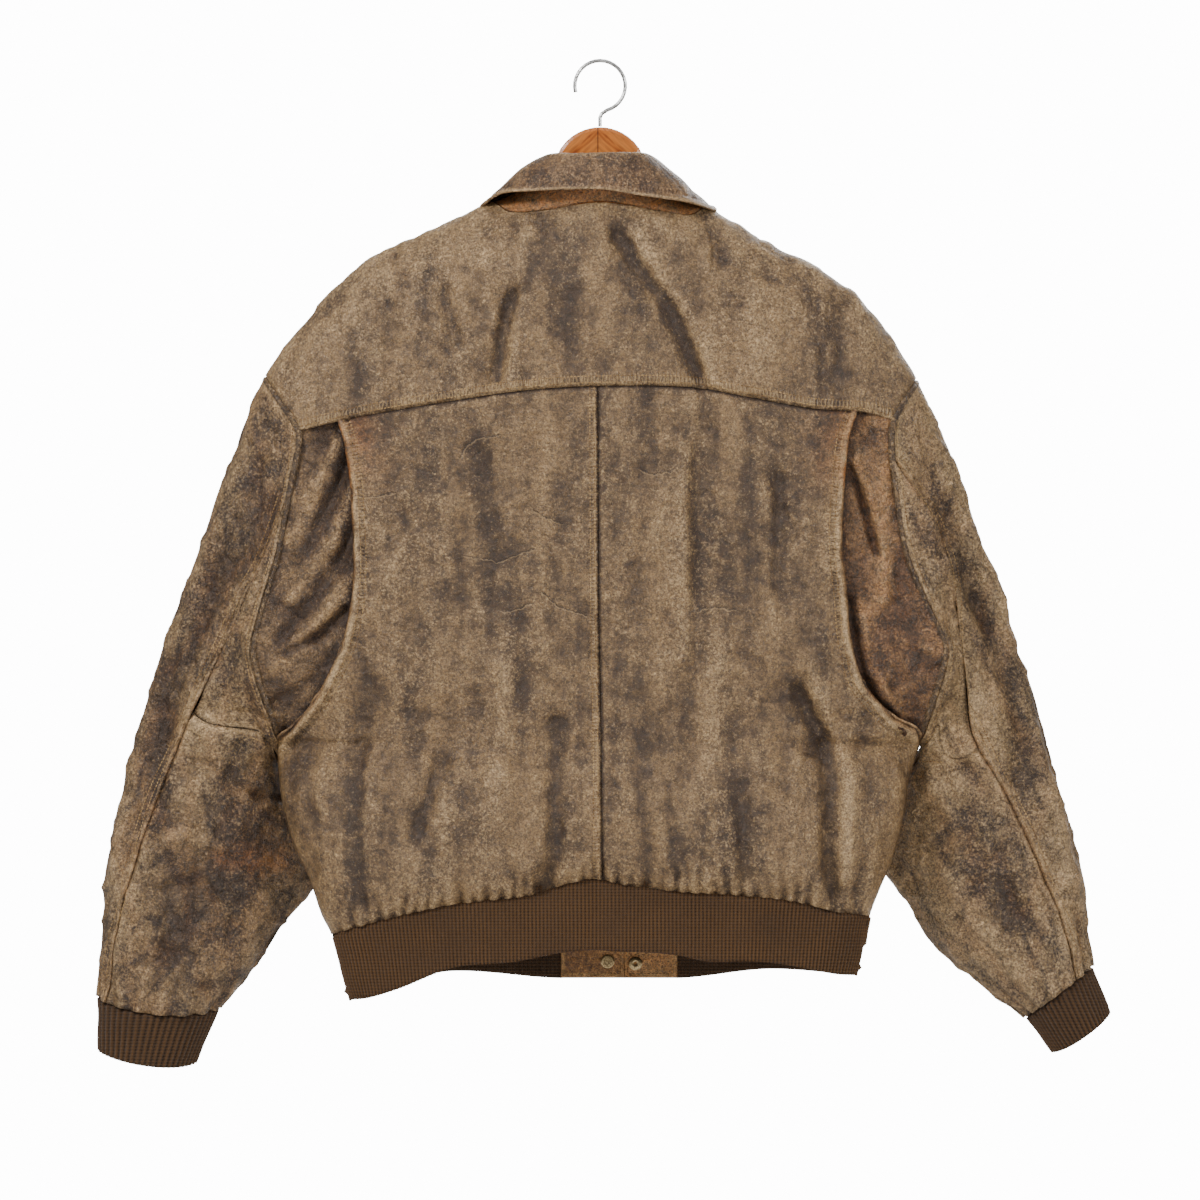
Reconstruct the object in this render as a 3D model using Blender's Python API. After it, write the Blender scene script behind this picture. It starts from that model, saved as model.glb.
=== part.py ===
"""A worn leather jacket on a wooden hanger, cut and sewn piece by piece.

The jacket's back faces -Y, +X is the wearer's right, and +Z is up. The origin is the inner top of the hanger's
hook, where the whole thing hangs. Every size is in metres.
"""
import math

import bmesh
import bpy
import numpy as np
from mathutils import Matrix, Vector

# Driving sizes

LEATHER = 0.0018  # thickness of the jacket leather
KNIT = 0.0026  # thickness of the rib knit, without its ribs
RIB_HEIGHT = 0.0010  # how far a rib stands out
SEAM = 0.0004  # space between two pieces at a seam
WIDE_SEAM = 0.0012  # the same where the two grids differ
TUCK = 0.0120  # how far a gusset runs in under the back panel
TUCK_DEPTH = 0.0070  # how far below the panel it lies there
GUSSET_DEPTH = 0.0026  # and at the armhole

HEM_RIBS = 132  # raised on the waistband, each for two of the knit's own
CUFF_RIBS = 44  # round each cuff
HEM_GATHERS = 12  # in the hem of each back panel
FRONT_GATHERS = 8  # in the hem of each front

RIDGE_RADIUS = 0.015  # how sharply the cloth turns over the shoulder
ROOF_REACH = 0.055  # how fast it falls away from there
ARM_SEAM = 0.0022  # space from a front's or the yoke's edge to the armhole's line
ARM_DEPTH = 0.046  # half of the armhole, front to back
UNDERARM_Z = -0.632
SHOULDER_SEAM = 0.030  # along the front, down from the shoulder's ridge

ZIP_TOP = -0.232
ZIP_DRIFT = 0.021  # how far the zip strays to +X on its way to the hem
ZIP_HALF_GAP = 0.006  # from the zip's middle to each front's edge
CHAIN = 0.0048  # width of the closed teeth
CHAIN_THICKNESS = 0.0022
TAPE_REACH = 0.014  # from the zip's middle to the tape's far edge
TAPE_THICKNESS = 0.0009
SLIDER = (0.009, 0.0028, 0.013)
HINGE_UP = 0.0028  # the pull tab turns this far above the slider's middle
HINGE_HEIGHT = 0.0014  # and this far off its face
BRIDGE_UP = 0.0032  # the bridge over the tab's top bar: its reach above and below that, width, wire and height
BRIDGE_DOWN = 0.0040
BRIDGE_WIDTH = 0.0016
BRIDGE_WIRE = 0.0010
BRIDGE_HEIGHT = 0.0036
TAB_THICKNESS = 0.0014
TAB_LENGTH = 0.024

SNAP_LEFT = (0.007, -0.836)  # where the snap's two halves sit, as (x, z)
SNAP_RIGHT = (0.033, -0.838)
TAB_LEATHER = 0.0034

HOOK_RADIUS = 0.02175  # inside the hook
HOOK_WIRE = 0.0035
CROWN_TOP = -0.060  # top of the wood
CROWN_RADIUS = 0.044
BOARD = 0.016  # thickness of the wood
ARM_END = 0.212  # half the length of the hanger
WOOD_BELOW_RIDGE = 0.0068  # the wood is flat across, so its edges lie under the cloth's fall on either side

BACK = -1
FRONT = 1


# Smooth lines and sheets, which all work on whole arrays of places at once


def slopes(at, to):
    """The slope at each of a row of points, from its two neighbours."""
    low = np.maximum(np.arange(len(at)) - 1, 0)
    high = np.minimum(np.arange(len(at)) + 1, len(at) - 1)
    width = (at[high] - at[low]).reshape(-1, *[1] * (to.ndim - 1))
    return (to[high] - to[low]) / width


def blend(t, width, start, end, rise0, rise1):
    """A cubic from start to end with the given slopes."""
    ends = start * (2 * t**3 - 3 * t**2 + 1) + end * (3 * t**2 - 2 * t**3)
    return ends + width * (rise0 * (t**3 - 2 * t**2 + t) + rise1 * (t**3 - t**2))


def smooth_line(points):
    """A function b(a) that runs smoothly through points (a, b), which are in rising order of a."""
    at, to = np.array(points, float).T
    rise = slopes(at, to)

    def value(a):
        a = np.clip(a, at[0], at[-1])
        low = np.clip(np.searchsorted(at, a, side="right") - 1, 0, len(at) - 2)
        width = at[low + 1] - at[low]
        return blend((a - at[low]) / width, width, to[low], to[low + 1], rise[low], rise[low + 1])

    return value


def timed_path(points):
    """A curve through points (t, x, y, ...), each reached at its own t."""
    tracks = [smooth_line([(point[0], point[axis]) for point in points]) for axis in range(1, len(points[0]))]
    return lambda t: np.stack([track(t) for track in tracks], -1)


def smooth_path(points):
    """A curve p(t), t from 0 to 1, at an even pace through the points."""
    points = np.array(points, float)
    lengths = np.concatenate([[0], np.cumsum(np.linalg.norm(np.diff(points, axis=0), axis=1))])
    return timed_path([(length / lengths[-1], *point) for length, point in zip(lengths, points)])


def corner_path(parts, shares):
    """Smooth paths joined at sharp corners, each taking its own share of t."""
    paths = [smooth_path(points) for points in parts]
    ends = np.cumsum(shares)

    def point(t):
        which = np.clip(np.searchsorted(ends, t - 1e-9), 0, len(paths) - 1)
        local = (t - (ends[which] - np.array(shares)[which])) / np.array(shares)[which]
        return np.stack([path(local) for path in paths])[which, np.arange(len(t))]

    return point


def skin(curves, at):
    """A sheet p(u, v) through curves p(u), each reached at its own v."""
    at = np.array(at, float)

    def point(u, v):
        through = np.stack([curve(u) for curve in curves])
        rise = slopes(at, through)
        low = np.clip(np.searchsorted(at, v, side="right") - 1, 0, len(at) - 2)
        width = (at[low + 1] - at[low])[:, None]
        every = np.arange(len(u))
        t = (v - at[low])[:, None] / width
        return blend(t, width, through[low, every], through[low + 1, every], rise[low, every], rise[low + 1, every])

    return point


def patch(left, right, bottom, top):
    """A sheet stretched between four edges. left and right take v, bottom and top take u."""

    def point(u, v):
        zero, one = np.zeros_like(u), np.ones_like(u)
        across, upward = u[:, None], v[:, None]
        sheet = left(v) * (1 - across) + right(v) * across + bottom(u) * (1 - upward) + top(u) * upward
        low = left(zero) * (1 - across) + right(zero) * across
        high = left(one) * (1 - across) + right(one) * across
        return sheet - low * (1 - upward) - high * upward

    return point


def smooth_step(t):
    t = np.clip(t, 0, 1)
    return t * t * (3 - 2 * t)


def by_height(points):
    """Points (x, z) as (z, x), in rising order of z."""
    return sorted((z, x) for x, z in points)


# The outline, as the back is looked at: points (x, z)

RIDGE = [(-0.335, -0.345), (-0.312, -0.292), (-0.292, -0.263), (-0.263, -0.226), (-0.222, -0.188),
         (-0.190, -0.170), (-0.147, -0.151), (-0.113, -0.136), (-0.056, -0.110), (0.0, -0.095),
         (0.056, -0.110), (0.109, -0.140), (0.163, -0.170), (0.197, -0.188), (0.227, -0.207),
         (0.247, -0.226), (0.276, -0.263), (0.295, -0.295), (0.318, -0.349)]

YOKE_SEAM = [(-0.312, -0.349), (-0.278, -0.342), (-0.221, -0.329), (-0.145, -0.316), (-0.069, -0.305),
             (0.0, -0.301), (0.085, -0.302), (0.132, -0.310), (0.199, -0.322), (0.242, -0.325),
             (0.272, -0.332), (0.307, -0.342)]

ARMHOLE = {
    "left": [(-0.312, -0.292), (-0.296, -0.316), (-0.281, -0.340), (-0.286, -0.379), (-0.294, -0.419),
             (-0.302, -0.459), (-0.316, -0.506), (-0.325, -0.545), (-0.322, -0.567), (-0.314, -0.592),
             (-0.306, -0.613), (-0.301, UNDERARM_Z)],
    "right": [(0.295, -0.295), (0.281, -0.316), (0.273, -0.334), (0.272, -0.357), (0.277, -0.398),
              (0.285, -0.449), (0.295, -0.478), (0.312, -0.515), (0.324, -0.542), (0.322, -0.565),
              (0.313, -0.593), (0.305, -0.616), (0.299, UNDERARM_Z)],
}

PANEL_EDGE = {
    "left": [(-0.301, UNDERARM_Z), (-0.288, -0.621), (-0.265, -0.593), (-0.242, -0.546), (-0.233, -0.509),
             (-0.230, -0.467), (-0.231, -0.435), (-0.233, -0.398), (-0.236, -0.374), (-0.240, -0.351),
             (-0.246, -0.334)],
    "right": [(0.299, UNDERARM_Z), (0.294, -0.621), (0.274, -0.611), (0.245, -0.577), (0.234, -0.537),
              (0.230, -0.494), (0.226, -0.453), (0.226, -0.430), (0.230, -0.374), (0.234, -0.346),
              (0.242, -0.325)],
}

SIDE_LINE = {
    "left": [(-0.301, UNDERARM_Z), (-0.299, -0.662), (-0.294, -0.698), (-0.283, -0.734), (-0.271, -0.758),
             (-0.259, -0.793), (-0.250, -0.811)],
    "right": [(0.299, UNDERARM_Z), (0.293, -0.648), (0.287, -0.671), (0.283, -0.700), (0.271, -0.744),
              (0.262, -0.765), (0.251, -0.794)],
}

BAND_END = {"left": (-0.233, -0.872), "right": (0.239, -0.849)}

CENTRE_LINE = [(0.002, -0.760), (0.001, -0.613), (-0.001, -0.518), (-0.002, -0.301)]

HEM_LINE = {
    BACK: [(-0.250, -0.811), (-0.186, -0.794), (-0.140, -0.784), (-0.065, -0.775), (-0.030, -0.764),
           (-0.005, -0.760), (0.027, -0.766), (0.077, -0.772), (0.130, -0.775), (0.183, -0.781),
           (0.219, -0.790), (0.251, -0.794)],
    FRONT: [(-0.250, -0.811), (-0.186, -0.802), (-0.100, -0.790), (-0.040, -0.7845), (0.075, -0.7845),
            (0.160, -0.788), (0.251, -0.794)],
}

BAND_BOTTOM = {
    BACK: [(-0.233, -0.872), (-0.215, -0.870), (-0.186, -0.861), (-0.137, -0.842), (-0.084, -0.837),
           (-0.020, -0.826), (0.020, -0.827), (0.070, -0.830), (0.099, -0.836), (0.144, -0.836),
           (0.183, -0.841), (0.219, -0.848), (0.239, -0.849)],
    FRONT: [(-0.233, -0.872), (-0.186, -0.856), (-0.137, -0.845), (-0.040, -0.8515), (0.075, -0.8515),
            (0.158, -0.843), (0.239, -0.849)],
}

# The ends of the two leather tabs, which meet at the foot of the zip
TAB_LEFT_X = (-0.0366, 0.0215)
TAB_RIGHT_X = (0.0221, 0.0725)

# How deep the body is from its side line, by the height above the hem
BODY_DEPTH = {
    BACK: smooth_line([(-0.070, 0.045), (0.0, 0.050), (0.010, 0.056), (0.030, 0.064), (0.070, 0.070),
                       (0.160, 0.073), (0.350, 0.070), (0.470, 0.066), (0.660, 0.062)]),
    FRONT: smooth_line([(-0.070, 0.058), (0.0, 0.060), (0.010, 0.065), (0.030, 0.071), (0.070, 0.076),
                        (0.160, 0.080), (0.350, 0.080), (0.470, 0.078), (0.660, 0.076)]),
}
side_line_y = smooth_line([(-0.880, -0.016), (-0.730, -0.016), (-0.680, -0.010), (UNDERARM_Z, 0.004),
                           (-0.450, 0.003), (-0.290, 0.0)])

# The largest folds: points (x, z) that each runs through, half its width, and how far it stands out, or in
FOLDS = {
    BACK: [
        ([(-0.082, -0.219), (-0.097, -0.290)], 0.012, -0.0070),
        ([(-0.146, -0.213), (-0.132, -0.264)], 0.011, -0.0045),
        ([(-0.197, -0.223), (-0.195, -0.261)], 0.012, -0.0035),
        ([(0.018, -0.160), (0.038, -0.194), (0.066, -0.230), (0.094, -0.297)], 0.014, -0.0070),
        ([(0.228, -0.222), (0.219, -0.291)], 0.012, -0.0040),
        ([(-0.030, -0.170), (-0.034, -0.260)], 0.012, -0.0030),
        ([(-0.105, -0.370), (-0.108, -0.500)], 0.020, -0.0050),
        ([(-0.042, -0.613), (-0.042, -0.737), (-0.053, -0.769)], 0.014, -0.0050),
        ([(-0.148, -0.651), (-0.173, -0.723)], 0.013, -0.0045),
        ([(0.094, -0.342), (0.100, -0.486)], 0.018, -0.0060),
        ([(0.078, -0.353), (0.079, -0.554)], 0.010, 0.0030),
        ([(0.166, -0.391), (0.166, -0.495)], 0.018, -0.0045),
        ([(0.185, -0.585), (0.205, -0.629), (0.216, -0.670), (0.217, -0.774)], 0.014, -0.0065),
        ([(0.131, -0.676), (0.135, -0.757)], 0.013, -0.0040),
        ([(-0.205, -0.480), (-0.190, -0.640)], 0.024, 0.0045),
        ([(0.040, -0.560), (0.045, -0.700)], 0.022, 0.0040),
        ([(-0.090, -0.560), (-0.095, -0.690)], 0.022, 0.0040),
    ],
    FRONT: [
        ([(-0.150, -0.230), (-0.135, -0.360)], 0.020, -0.0060),
        ([(0.150, -0.240), (0.140, -0.370)], 0.020, -0.0060),
        ([(-0.090, -0.420), (-0.100, -0.600)], 0.022, -0.0055),
        ([(0.105, -0.440), (0.110, -0.610)], 0.022, -0.0055),
        ([(-0.190, -0.520), (-0.185, -0.700)], 0.020, 0.0050),
        ([(0.190, -0.520), (0.185, -0.690)], 0.020, 0.0050),
        ([(-0.060, -0.640), (-0.066, -0.760)], 0.014, -0.0045),
        ([(0.085, -0.650), (0.090, -0.760)], 0.014, -0.0045),
    ],
}

ridge_z = smooth_line(RIDGE)
yoke_seam_z = smooth_line(YOKE_SEAM)
hem_z = {face: smooth_line(points) for face, points in HEM_LINE.items()}
band_bottom_z = {face: smooth_line(points) for face, points in BAND_BOTTOM.items()}
outer_x = {side: smooth_line(by_height(ARMHOLE[side] + SIDE_LINE[side][1:] + [BAND_END[side]])) for side in ARMHOLE}


def distance_to_line(x, z, points):
    away = np.full_like(x, 1.0)
    for (x0, z0), (x1, z1) in zip(points, points[1:]):
        run_x, run_z = x1 - x0, z1 - z0
        share = np.clip(((x - x0) * run_x + (z - z0) * run_z) / (run_x**2 + run_z**2), 0, 1)
        away = np.minimum(away, np.hypot(x - x0 - run_x * share, z - z0 - run_z * share))
    return away


def fold_height(x, z, face):
    """How far the folds lift the cloth at each place."""
    height = np.zeros_like(x)
    for points, width, depth in FOLDS[face]:
        height += depth * np.exp(-((distance_to_line(x, z, points) / width) ** 2))
    return height


def roof_run(x, z):
    """How far a place lies from the shoulder's ridge, down over the cloth."""
    drop = np.maximum(ridge_z(x) - z, 0)
    return np.sqrt((drop + RIDGE_RADIUS) ** 2 - RIDGE_RADIUS**2)


def roof_z(x, run):
    return ridge_z(x) - (np.sqrt(run * run + RIDGE_RADIUS**2) - RIDGE_RADIUS)


def torso_y(x, z, face, seam=SEAM):
    """The body's outer surface: how far forward it lies at each place of its outline."""
    edge = np.where(x < 0, outer_x["left"](z), outer_x["right"](z))
    inward = np.clip(1 - x / edge, 0, 1)
    below = smooth_step((UNDERARM_Z + 0.03 - z) / 0.06)
    open_shape = 1 - (1 - inward) ** 2
    closed_shape = np.sqrt(1 - (1 - inward) ** 3)
    swell = open_shape * (1 - below) + closed_shape * below
    closing = np.clip((z - UNDERARM_Z) / 0.10, 0, 1)
    at_edge = ARM_DEPTH * np.sqrt(1 - (1 - closing) ** 2)
    full = BODY_DEPTH[face](z - hem_z[face](x))
    roof = 1 - np.exp(-roof_run(x, z) / ROOF_REACH)
    depth = (at_edge + (full - at_edge) * swell) * roof
    depth += fold_height(x, z, face) * np.minimum(swell * 1.5, 1)
    depth += seam / 2 * smooth_step((UNDERARM_Z + 0.02 - z) / 0.01)
    return side_line_y(z) + face * depth


def on_body(x, z, face, lift=0.0):
    return np.stack([x, torso_y(x, z, face) + face * lift, z], -1)


def body_sheet(flat, face):
    """Lays a flat sheet of points (x, z) on the body."""
    return lambda u, v: on_body(*flat(u, v).T, face)


# Building a piece of cloth


def normals(surface, u, v, closed):
    step = 0.003
    u0, u1 = (u - step, u + step) if closed else (np.maximum(u - step, 0), np.minimum(u + step, 1))
    v0, v1 = np.maximum(v - step, 0), np.minimum(v + step, 1)
    across = np.cross(surface(u1, v) - surface(u0, v), surface(u, v1) - surface(u, v0))
    return across / np.linalg.norm(across, axis=1, keepdims=True)


def new_object(name, mesh, material):
    mesh.materials.append(material)
    mesh.shade_smooth()
    mesh.set_sharp_from_angle(angle=math.radians(50))
    piece = bpy.data.objects.new(name, mesh)
    collection.objects.link(piece)
    return piece


def add_wall(name, material, surface, columns, rows, inside, thickness=LEATHER, closed=False, lift=None, ribs=0.0):
    """Spreads a grid on the surface, or rolls it round, and gives it its thickness towards the point inside.

    lift(u, v) moves the whole wall out, and ribs raises every second column of the outer points.
    """
    work = bmesh.new()
    bmesh.ops.create_grid(work, x_segments=columns, y_segments=rows, size=0.5)
    bmesh.ops.translate(work, verts=work.verts, vec=(0.5, 0.5, 0))
    if closed:
        for vertex in work.verts:
            turn = math.tau * vertex.co.x
            vertex.co = (math.cos(turn), math.sin(turn), vertex.co.y)
        bmesh.ops.remove_doubles(work, verts=work.verts, dist=0.0001)
    made = bmesh.ops.extrude_face_region(work, geom=work.faces[:], use_keep_orig=True)
    inner = {item for item in made["geom"] if isinstance(item, bmesh.types.BMVert)}
    vertices = list(work.verts)
    spots = np.array([vertex.co for vertex in vertices], float)
    if closed:
        u, v = np.arctan2(spots[:, 1], spots[:, 0]) / math.tau % 1.0, spots[:, 2]
    else:
        u, v = spots[:, 0], spots[:, 1]
    middle = np.array([0.5])
    outward = (surface(middle, middle) - np.array(inside)) @ normals(surface, middle, middle, closed)[0]
    is_inner = np.array([vertex in inner for vertex in vertices])
    raised = ribs * (np.round(u * columns) % 2)
    away = np.where(is_inner, -thickness, raised) + (lift(u, v) if lift else 0)
    placed = surface(u, v) + normals(surface, u, v, closed) * (np.sign(outward) * away)[:, None]
    for vertex, place in zip(vertices, placed):
        vertex.co = place
    bmesh.ops.recalc_face_normals(work, faces=work.faces)
    if work.calc_volume(signed=True) < 0:
        bmesh.ops.reverse_faces(work, faces=work.faces)
    mesh = bpy.data.meshes.new(name)
    work.to_mesh(mesh)
    work.free()
    return new_object(name, mesh, material)


def on_outline(side, path, inset=0.0):
    """Draws an edge of points (x, z) onto the outline, up to the height where it leaves it."""
    sign = -1 if side == "left" else 1

    def point(v):
        x, z = path(v).T
        return np.stack([np.where(z < UNDERARM_Z, outer_x[side](z), x - sign * inset), z], -1)

    return point


def squeezed(flat, u_power=1.0, v_power=1.0):
    """Draws a sheet's columns towards u = 0 and its rows towards v = 0."""
    return lambda u, v: flat(u**u_power, v**v_power)


def edge_along(line, start, end, shift=0.0):
    """The edge z(x) from x = start to x = end."""

    def point(u):
        x = start + (end - start) * u
        return np.stack([x, line(x) + shift], -1)

    return point


# The yoke, the panels and the gussets


def armhole_x(side, run):
    """Where the armhole lies at a distance from the ridge."""
    low = np.full_like(run, ARMHOLE[side][2][1] - 0.02)
    high = np.full_like(run, ARMHOLE[side][0][1])
    for _ in range(40):
        z = (low + high) / 2
        far = roof_run(outer_x[side](z), z) > run
        low, high = np.where(far, z, low), np.where(far, high, z)
    return outer_x[side](high)


YOKE_COLUMNS = 36
YOKE_NECK_COLUMNS = 4  # down each side of the neck
YOKE_ROWS = 12
YOKE_ROW_POWER = 1.5  # draws the rows towards the shoulder's ridge
YOKE_SEAM_COLUMNS = 9  # of them along each shoulder seam
NECK_HALF = [(0.1005, SHOULDER_SEAM), (0.1005, 0.010), (0.098, -0.008), (0.084, -0.028), (0.050, -0.042)]
NECK_BACK = -0.0477  # the run of the neck seam at the centre back
NECK_FRONT = [(0.0085, 0.140), (0.055, 0.099), (0.085, 0.052)]


def mirrored(points):
    return [(-x, run) for x, run in points]


def shoulder_seam(side):
    """The forward shoulder seam from the armhole to the neck, as points (x, run)."""
    sign = -1 if side == "left" else 1
    start = armhole_x(side, np.array([SHOULDER_SEAM]))[0] - sign * ARM_SEAM
    return [(start, SHOULDER_SEAM), (sign * NECK_HALF[0][0], SHOULDER_SEAM)]


def add_yoke(material):
    left_x, right_x = ARMHOLE["left"][2][0], ARMHOLE["right"][2][0]

    def bottom(u):
        x = left_x + (right_x - left_x) * u
        return np.stack([x, -roof_run(x, yoke_seam_z(x) + WIDE_SEAM / 2)], -1)

    def end(side, corner):
        low = bottom(np.array([corner]))[0, 1]

        def edge(v):
            run = low + (SHOULDER_SEAM - low) * v
            return np.stack([armhole_x(side, np.abs(run)), run], -1)

        return edge

    sides, back = NECK_HALF[:3], NECK_HALF[2:]
    parts = [shoulder_seam("left"), mirrored(sides), mirrored(back) + [(0.0, NECK_BACK)] + back[::-1], sides[::-1],
             shoulder_seam("right")[::-1]]
    middle = YOKE_COLUMNS - 2 * (YOKE_SEAM_COLUMNS + YOKE_NECK_COLUMNS)
    counts = [YOKE_SEAM_COLUMNS, YOKE_NECK_COLUMNS, middle, YOKE_NECK_COLUMNS, YOKE_SEAM_COLUMNS]
    top = corner_path(parts, [count / YOKE_COLUMNS for count in counts])
    flat = patch(end("left", 0.0), end("right", 1.0), bottom, top)

    def surface(u, v):
        inset = 0.0007
        x, run = flat(inset + (1 - 2 * inset) * u, 1 - (1 - v) ** YOKE_ROW_POWER).T
        z = roof_z(x, run)
        y = np.where(run < 0, torso_y(x, z, BACK), torso_y(x, z, FRONT))
        return np.stack([x, y, z], -1)

    add_wall("back_yoke", material, surface, YOKE_COLUMNS, YOKE_ROWS, (0, 0, -0.25))


def add_back_panel(side, material):
    sign = -1 if side == "left" else 1
    outer = on_outline(side, smooth_path(SIDE_LINE[side][::-1] + PANEL_EDGE[side][1:]))
    inner = smooth_path([(x + sign * SEAM / 2, z) for x, z in CENTRE_LINE])
    ends = inner(np.array([0.0, 1.0]))[:, 0]
    flat = patch(
        outer,
        inner,
        edge_along(hem_z[BACK], SIDE_LINE[side][-1][0], ends[0], WIDE_SEAM / 2),
        edge_along(yoke_seam_z, PANEL_EDGE[side][-1][0], ends[1], -WIDE_SEAM / 2),
    )

    def gathers(u, v):
        return 0.0016 * np.cos(math.tau * HEM_GATHERS * u) * np.exp(-v * 14)

    surface = body_sheet(squeezed(flat, 1.25, 1.25), BACK)
    add_wall(f"back_panel_{side}", material, surface, 2 * HEM_GATHERS, 11, (0, 0, -0.5), lift=gathers)


def add_gusset(side, material):
    sign = -1 if side == "left" else 1
    armhole = smooth_path([(x - sign * ARM_SEAM * 0.6, z) for x, z in ARMHOLE[side][-2:1:-1]])
    under = smooth_path([(x - sign * TUCK, z + 0.002) for x, z in PANEL_EDGE[side][2:]])
    ends = np.array([0.0, 1.0])
    outer_ends, inner_ends = armhole(ends), under(ends)
    flat = patch(
        armhole,
        under,
        lambda u: outer_ends[0] + (inner_ends[0] - outer_ends[0]) * u[:, None],
        lambda u: outer_ends[1] + (inner_ends[1] - outer_ends[1]) * u[:, None],
    )
    # each fold of the gusset: its middle (u, v), how it slants, half its width, and how deep it sinks
    folds = [(0.35, 0.90, 0.75, 0.10, 0.006), (0.55, 0.60, 0.30, 0.12, 0.008), (0.30, 0.35, 0.25, 0.10, 0.005)]

    def sunk(u, v):
        low = 1 - smooth_step(v / 0.25)
        depth = GUSSET_DEPTH + 0.004 * low + (TUCK_DEPTH - GUSSET_DEPTH) * smooth_step(u / (0.8 - 0.6 * low))
        for at_u, at_v, slant, width, fold in folds:
            away = ((v - at_v) * 0.8 + (u - at_u) * slant) / width
            depth = depth + (1 - low) * fold * np.exp(-away * away) * np.sin(math.pi * np.minimum(u * 1.3, 1))
        return -depth

    add_wall(f"back_gusset_{side}", material, body_sheet(flat, BACK), 6, 14, (0, 0, -0.45), lift=sunk)


# The fronts


FRONT_SEAM_COLUMNS = 9  # of a front's columns, along its shoulder seam
FRONT_ROWS = 12
COLUMN_POWER = 1.25
ROW_POWER = 1.2


def zip_x(z):
    return ZIP_DRIFT * (ZIP_TOP - z) / (ZIP_TOP - HEM_LINE[FRONT][3][1])


def add_front(side, material):
    sign = -1 if side == "left" else 1
    shoulder = (FRONT_SEAM_COLUMNS / (2 * FRONT_GATHERS)) ** COLUMN_POWER
    neck = [(sign * x, run) for x, run in [NECK_HALF[0]] + NECK_FRONT[::-1]]
    top_path = corner_path([shoulder_seam(side), neck], [shoulder, 1 - shoulder])

    def top(u):
        x, run = top_path(u).T
        return np.stack([x, roof_z(x, run + WIDE_SEAM)], -1)

    corners = top(np.array([0.0, 1.0]))
    hem_mid = HEM_LINE[FRONT][3][1]
    side_points = SIDE_LINE[side][::-1] + [point for point in ARMHOLE[side][-2:0:-1] if point[1] < corners[0][1]]
    outer = on_outline(side, smooth_path(side_points + [tuple(corners[0] + (sign * ARM_SEAM, 0))]), ARM_SEAM)
    inner = smooth_path([(zip_x(hem_mid) + sign * ZIP_HALF_GAP, hem_mid + SEAM / 2), tuple(corners[1])])
    foot = inner(np.array([0.0]))[0, 0]
    flat = patch(outer, inner, edge_along(hem_z[FRONT], SIDE_LINE[side][-1][0], foot, WIDE_SEAM / 2), top)

    def gathers(u, v):
        return 0.0016 * np.cos(math.tau * FRONT_GATHERS * u) * np.exp(-v * 14) * smooth_step((0.97 - u) / 0.06)

    surface = body_sheet(squeezed(flat, COLUMN_POWER, ROW_POWER), FRONT)
    add_wall(f"front_{side}", material, surface, 2 * FRONT_GATHERS, FRONT_ROWS, (0, 0, -0.5), lift=gathers)


def add_strip(name, material, left, right, bottom_z, top_z, columns, rows, lift, thickness, face=FRONT):
    """A strip on the body between two functions x(z) and two heights, lifted off the outer surface."""

    def surface(u, v):
        z = bottom_z + (top_z - bottom_z) * v**ROW_POWER
        return on_body(left(z) * (1 - u) + right(z) * u, z, face)

    add_wall(name, material, surface, columns, rows, (0, 0, -0.5), thickness, lift=lambda u, v: lift + 0 * u)


def add_zip(tape, metal):
    bottom = HEM_LINE[FRONT][3][1] + SEAM / 2
    top = float(roof_z(np.array([NECK_FRONT[0][0]]), NECK_FRONT[0][1] + SEAM)[0])
    for side, sign in (("left", -1), ("right", 1)):
        near = sign * (CHAIN / 2 + SEAM)
        far = sign * TAPE_REACH
        add_strip(f"zip_tape_{side}", tape, lambda z: zip_x(z) + near, lambda z: zip_x(z) + far, bottom, top,
                  1, FRONT_ROWS, -LEATHER - WIDE_SEAM, TAPE_THICKNESS)
    add_strip("zip_chain", metal, lambda z: zip_x(z) - CHAIN / 2, lambda z: zip_x(z) + CHAIN / 2, bottom,
              ZIP_TOP - 0.002, 1, FRONT_ROWS, -0.0012, CHAIN_THICKNESS)


# The waistband and its tabs


def band_surface():
    """The knit band from the left tab round the back to the right tab, at an even pace."""

    ends = {side: (SIDE_LINE[side][-1][0] + BAND_END[side][0]) / 2 for side in BAND_END}
    taper = {side: (SIDE_LINE[side][-1][0] - BAND_END[side][0]) / 2 for side in BAND_END}

    def point(turn, v):
        across = np.cos(turn)
        x = np.where(across > 0, ends["right"], -ends["left"]) * across
        shift = np.where(across > 0, taper["right"], taper["left"]) * np.abs(across) ** 3
        z = []
        for face in (BACK, FRONT):
            top, low = hem_z[face](x + shift) - WIDE_SEAM / 2, band_bottom_z[face](x - shift)
            z.append(top * (1 - v) + low * v)
        x = x + shift * (1 - 2 * v)
        back = on_body(x, z[0], BACK, 0)
        front = on_body(x, z[1], FRONT, 0)
        return np.where((np.sin(turn) > 0)[:, None], back, front)

    middle = np.full(1200, 0.5)

    def turn_at(x):
        return math.tau - math.acos(x / (ends["right"] if x > 0 else -ends["left"]))

    turns = np.linspace(turn_at(TAB_LEFT_X[0] - SEAM), turn_at(TAB_RIGHT_X[1] + SEAM) - math.tau, 1200)
    steps = np.linalg.norm(np.diff(point(turns, middle), axis=0), axis=1)
    share = np.concatenate([[0], np.cumsum(steps)]) / steps.sum()
    return lambda u, v: point(np.interp(u, share, turns), v)


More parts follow.
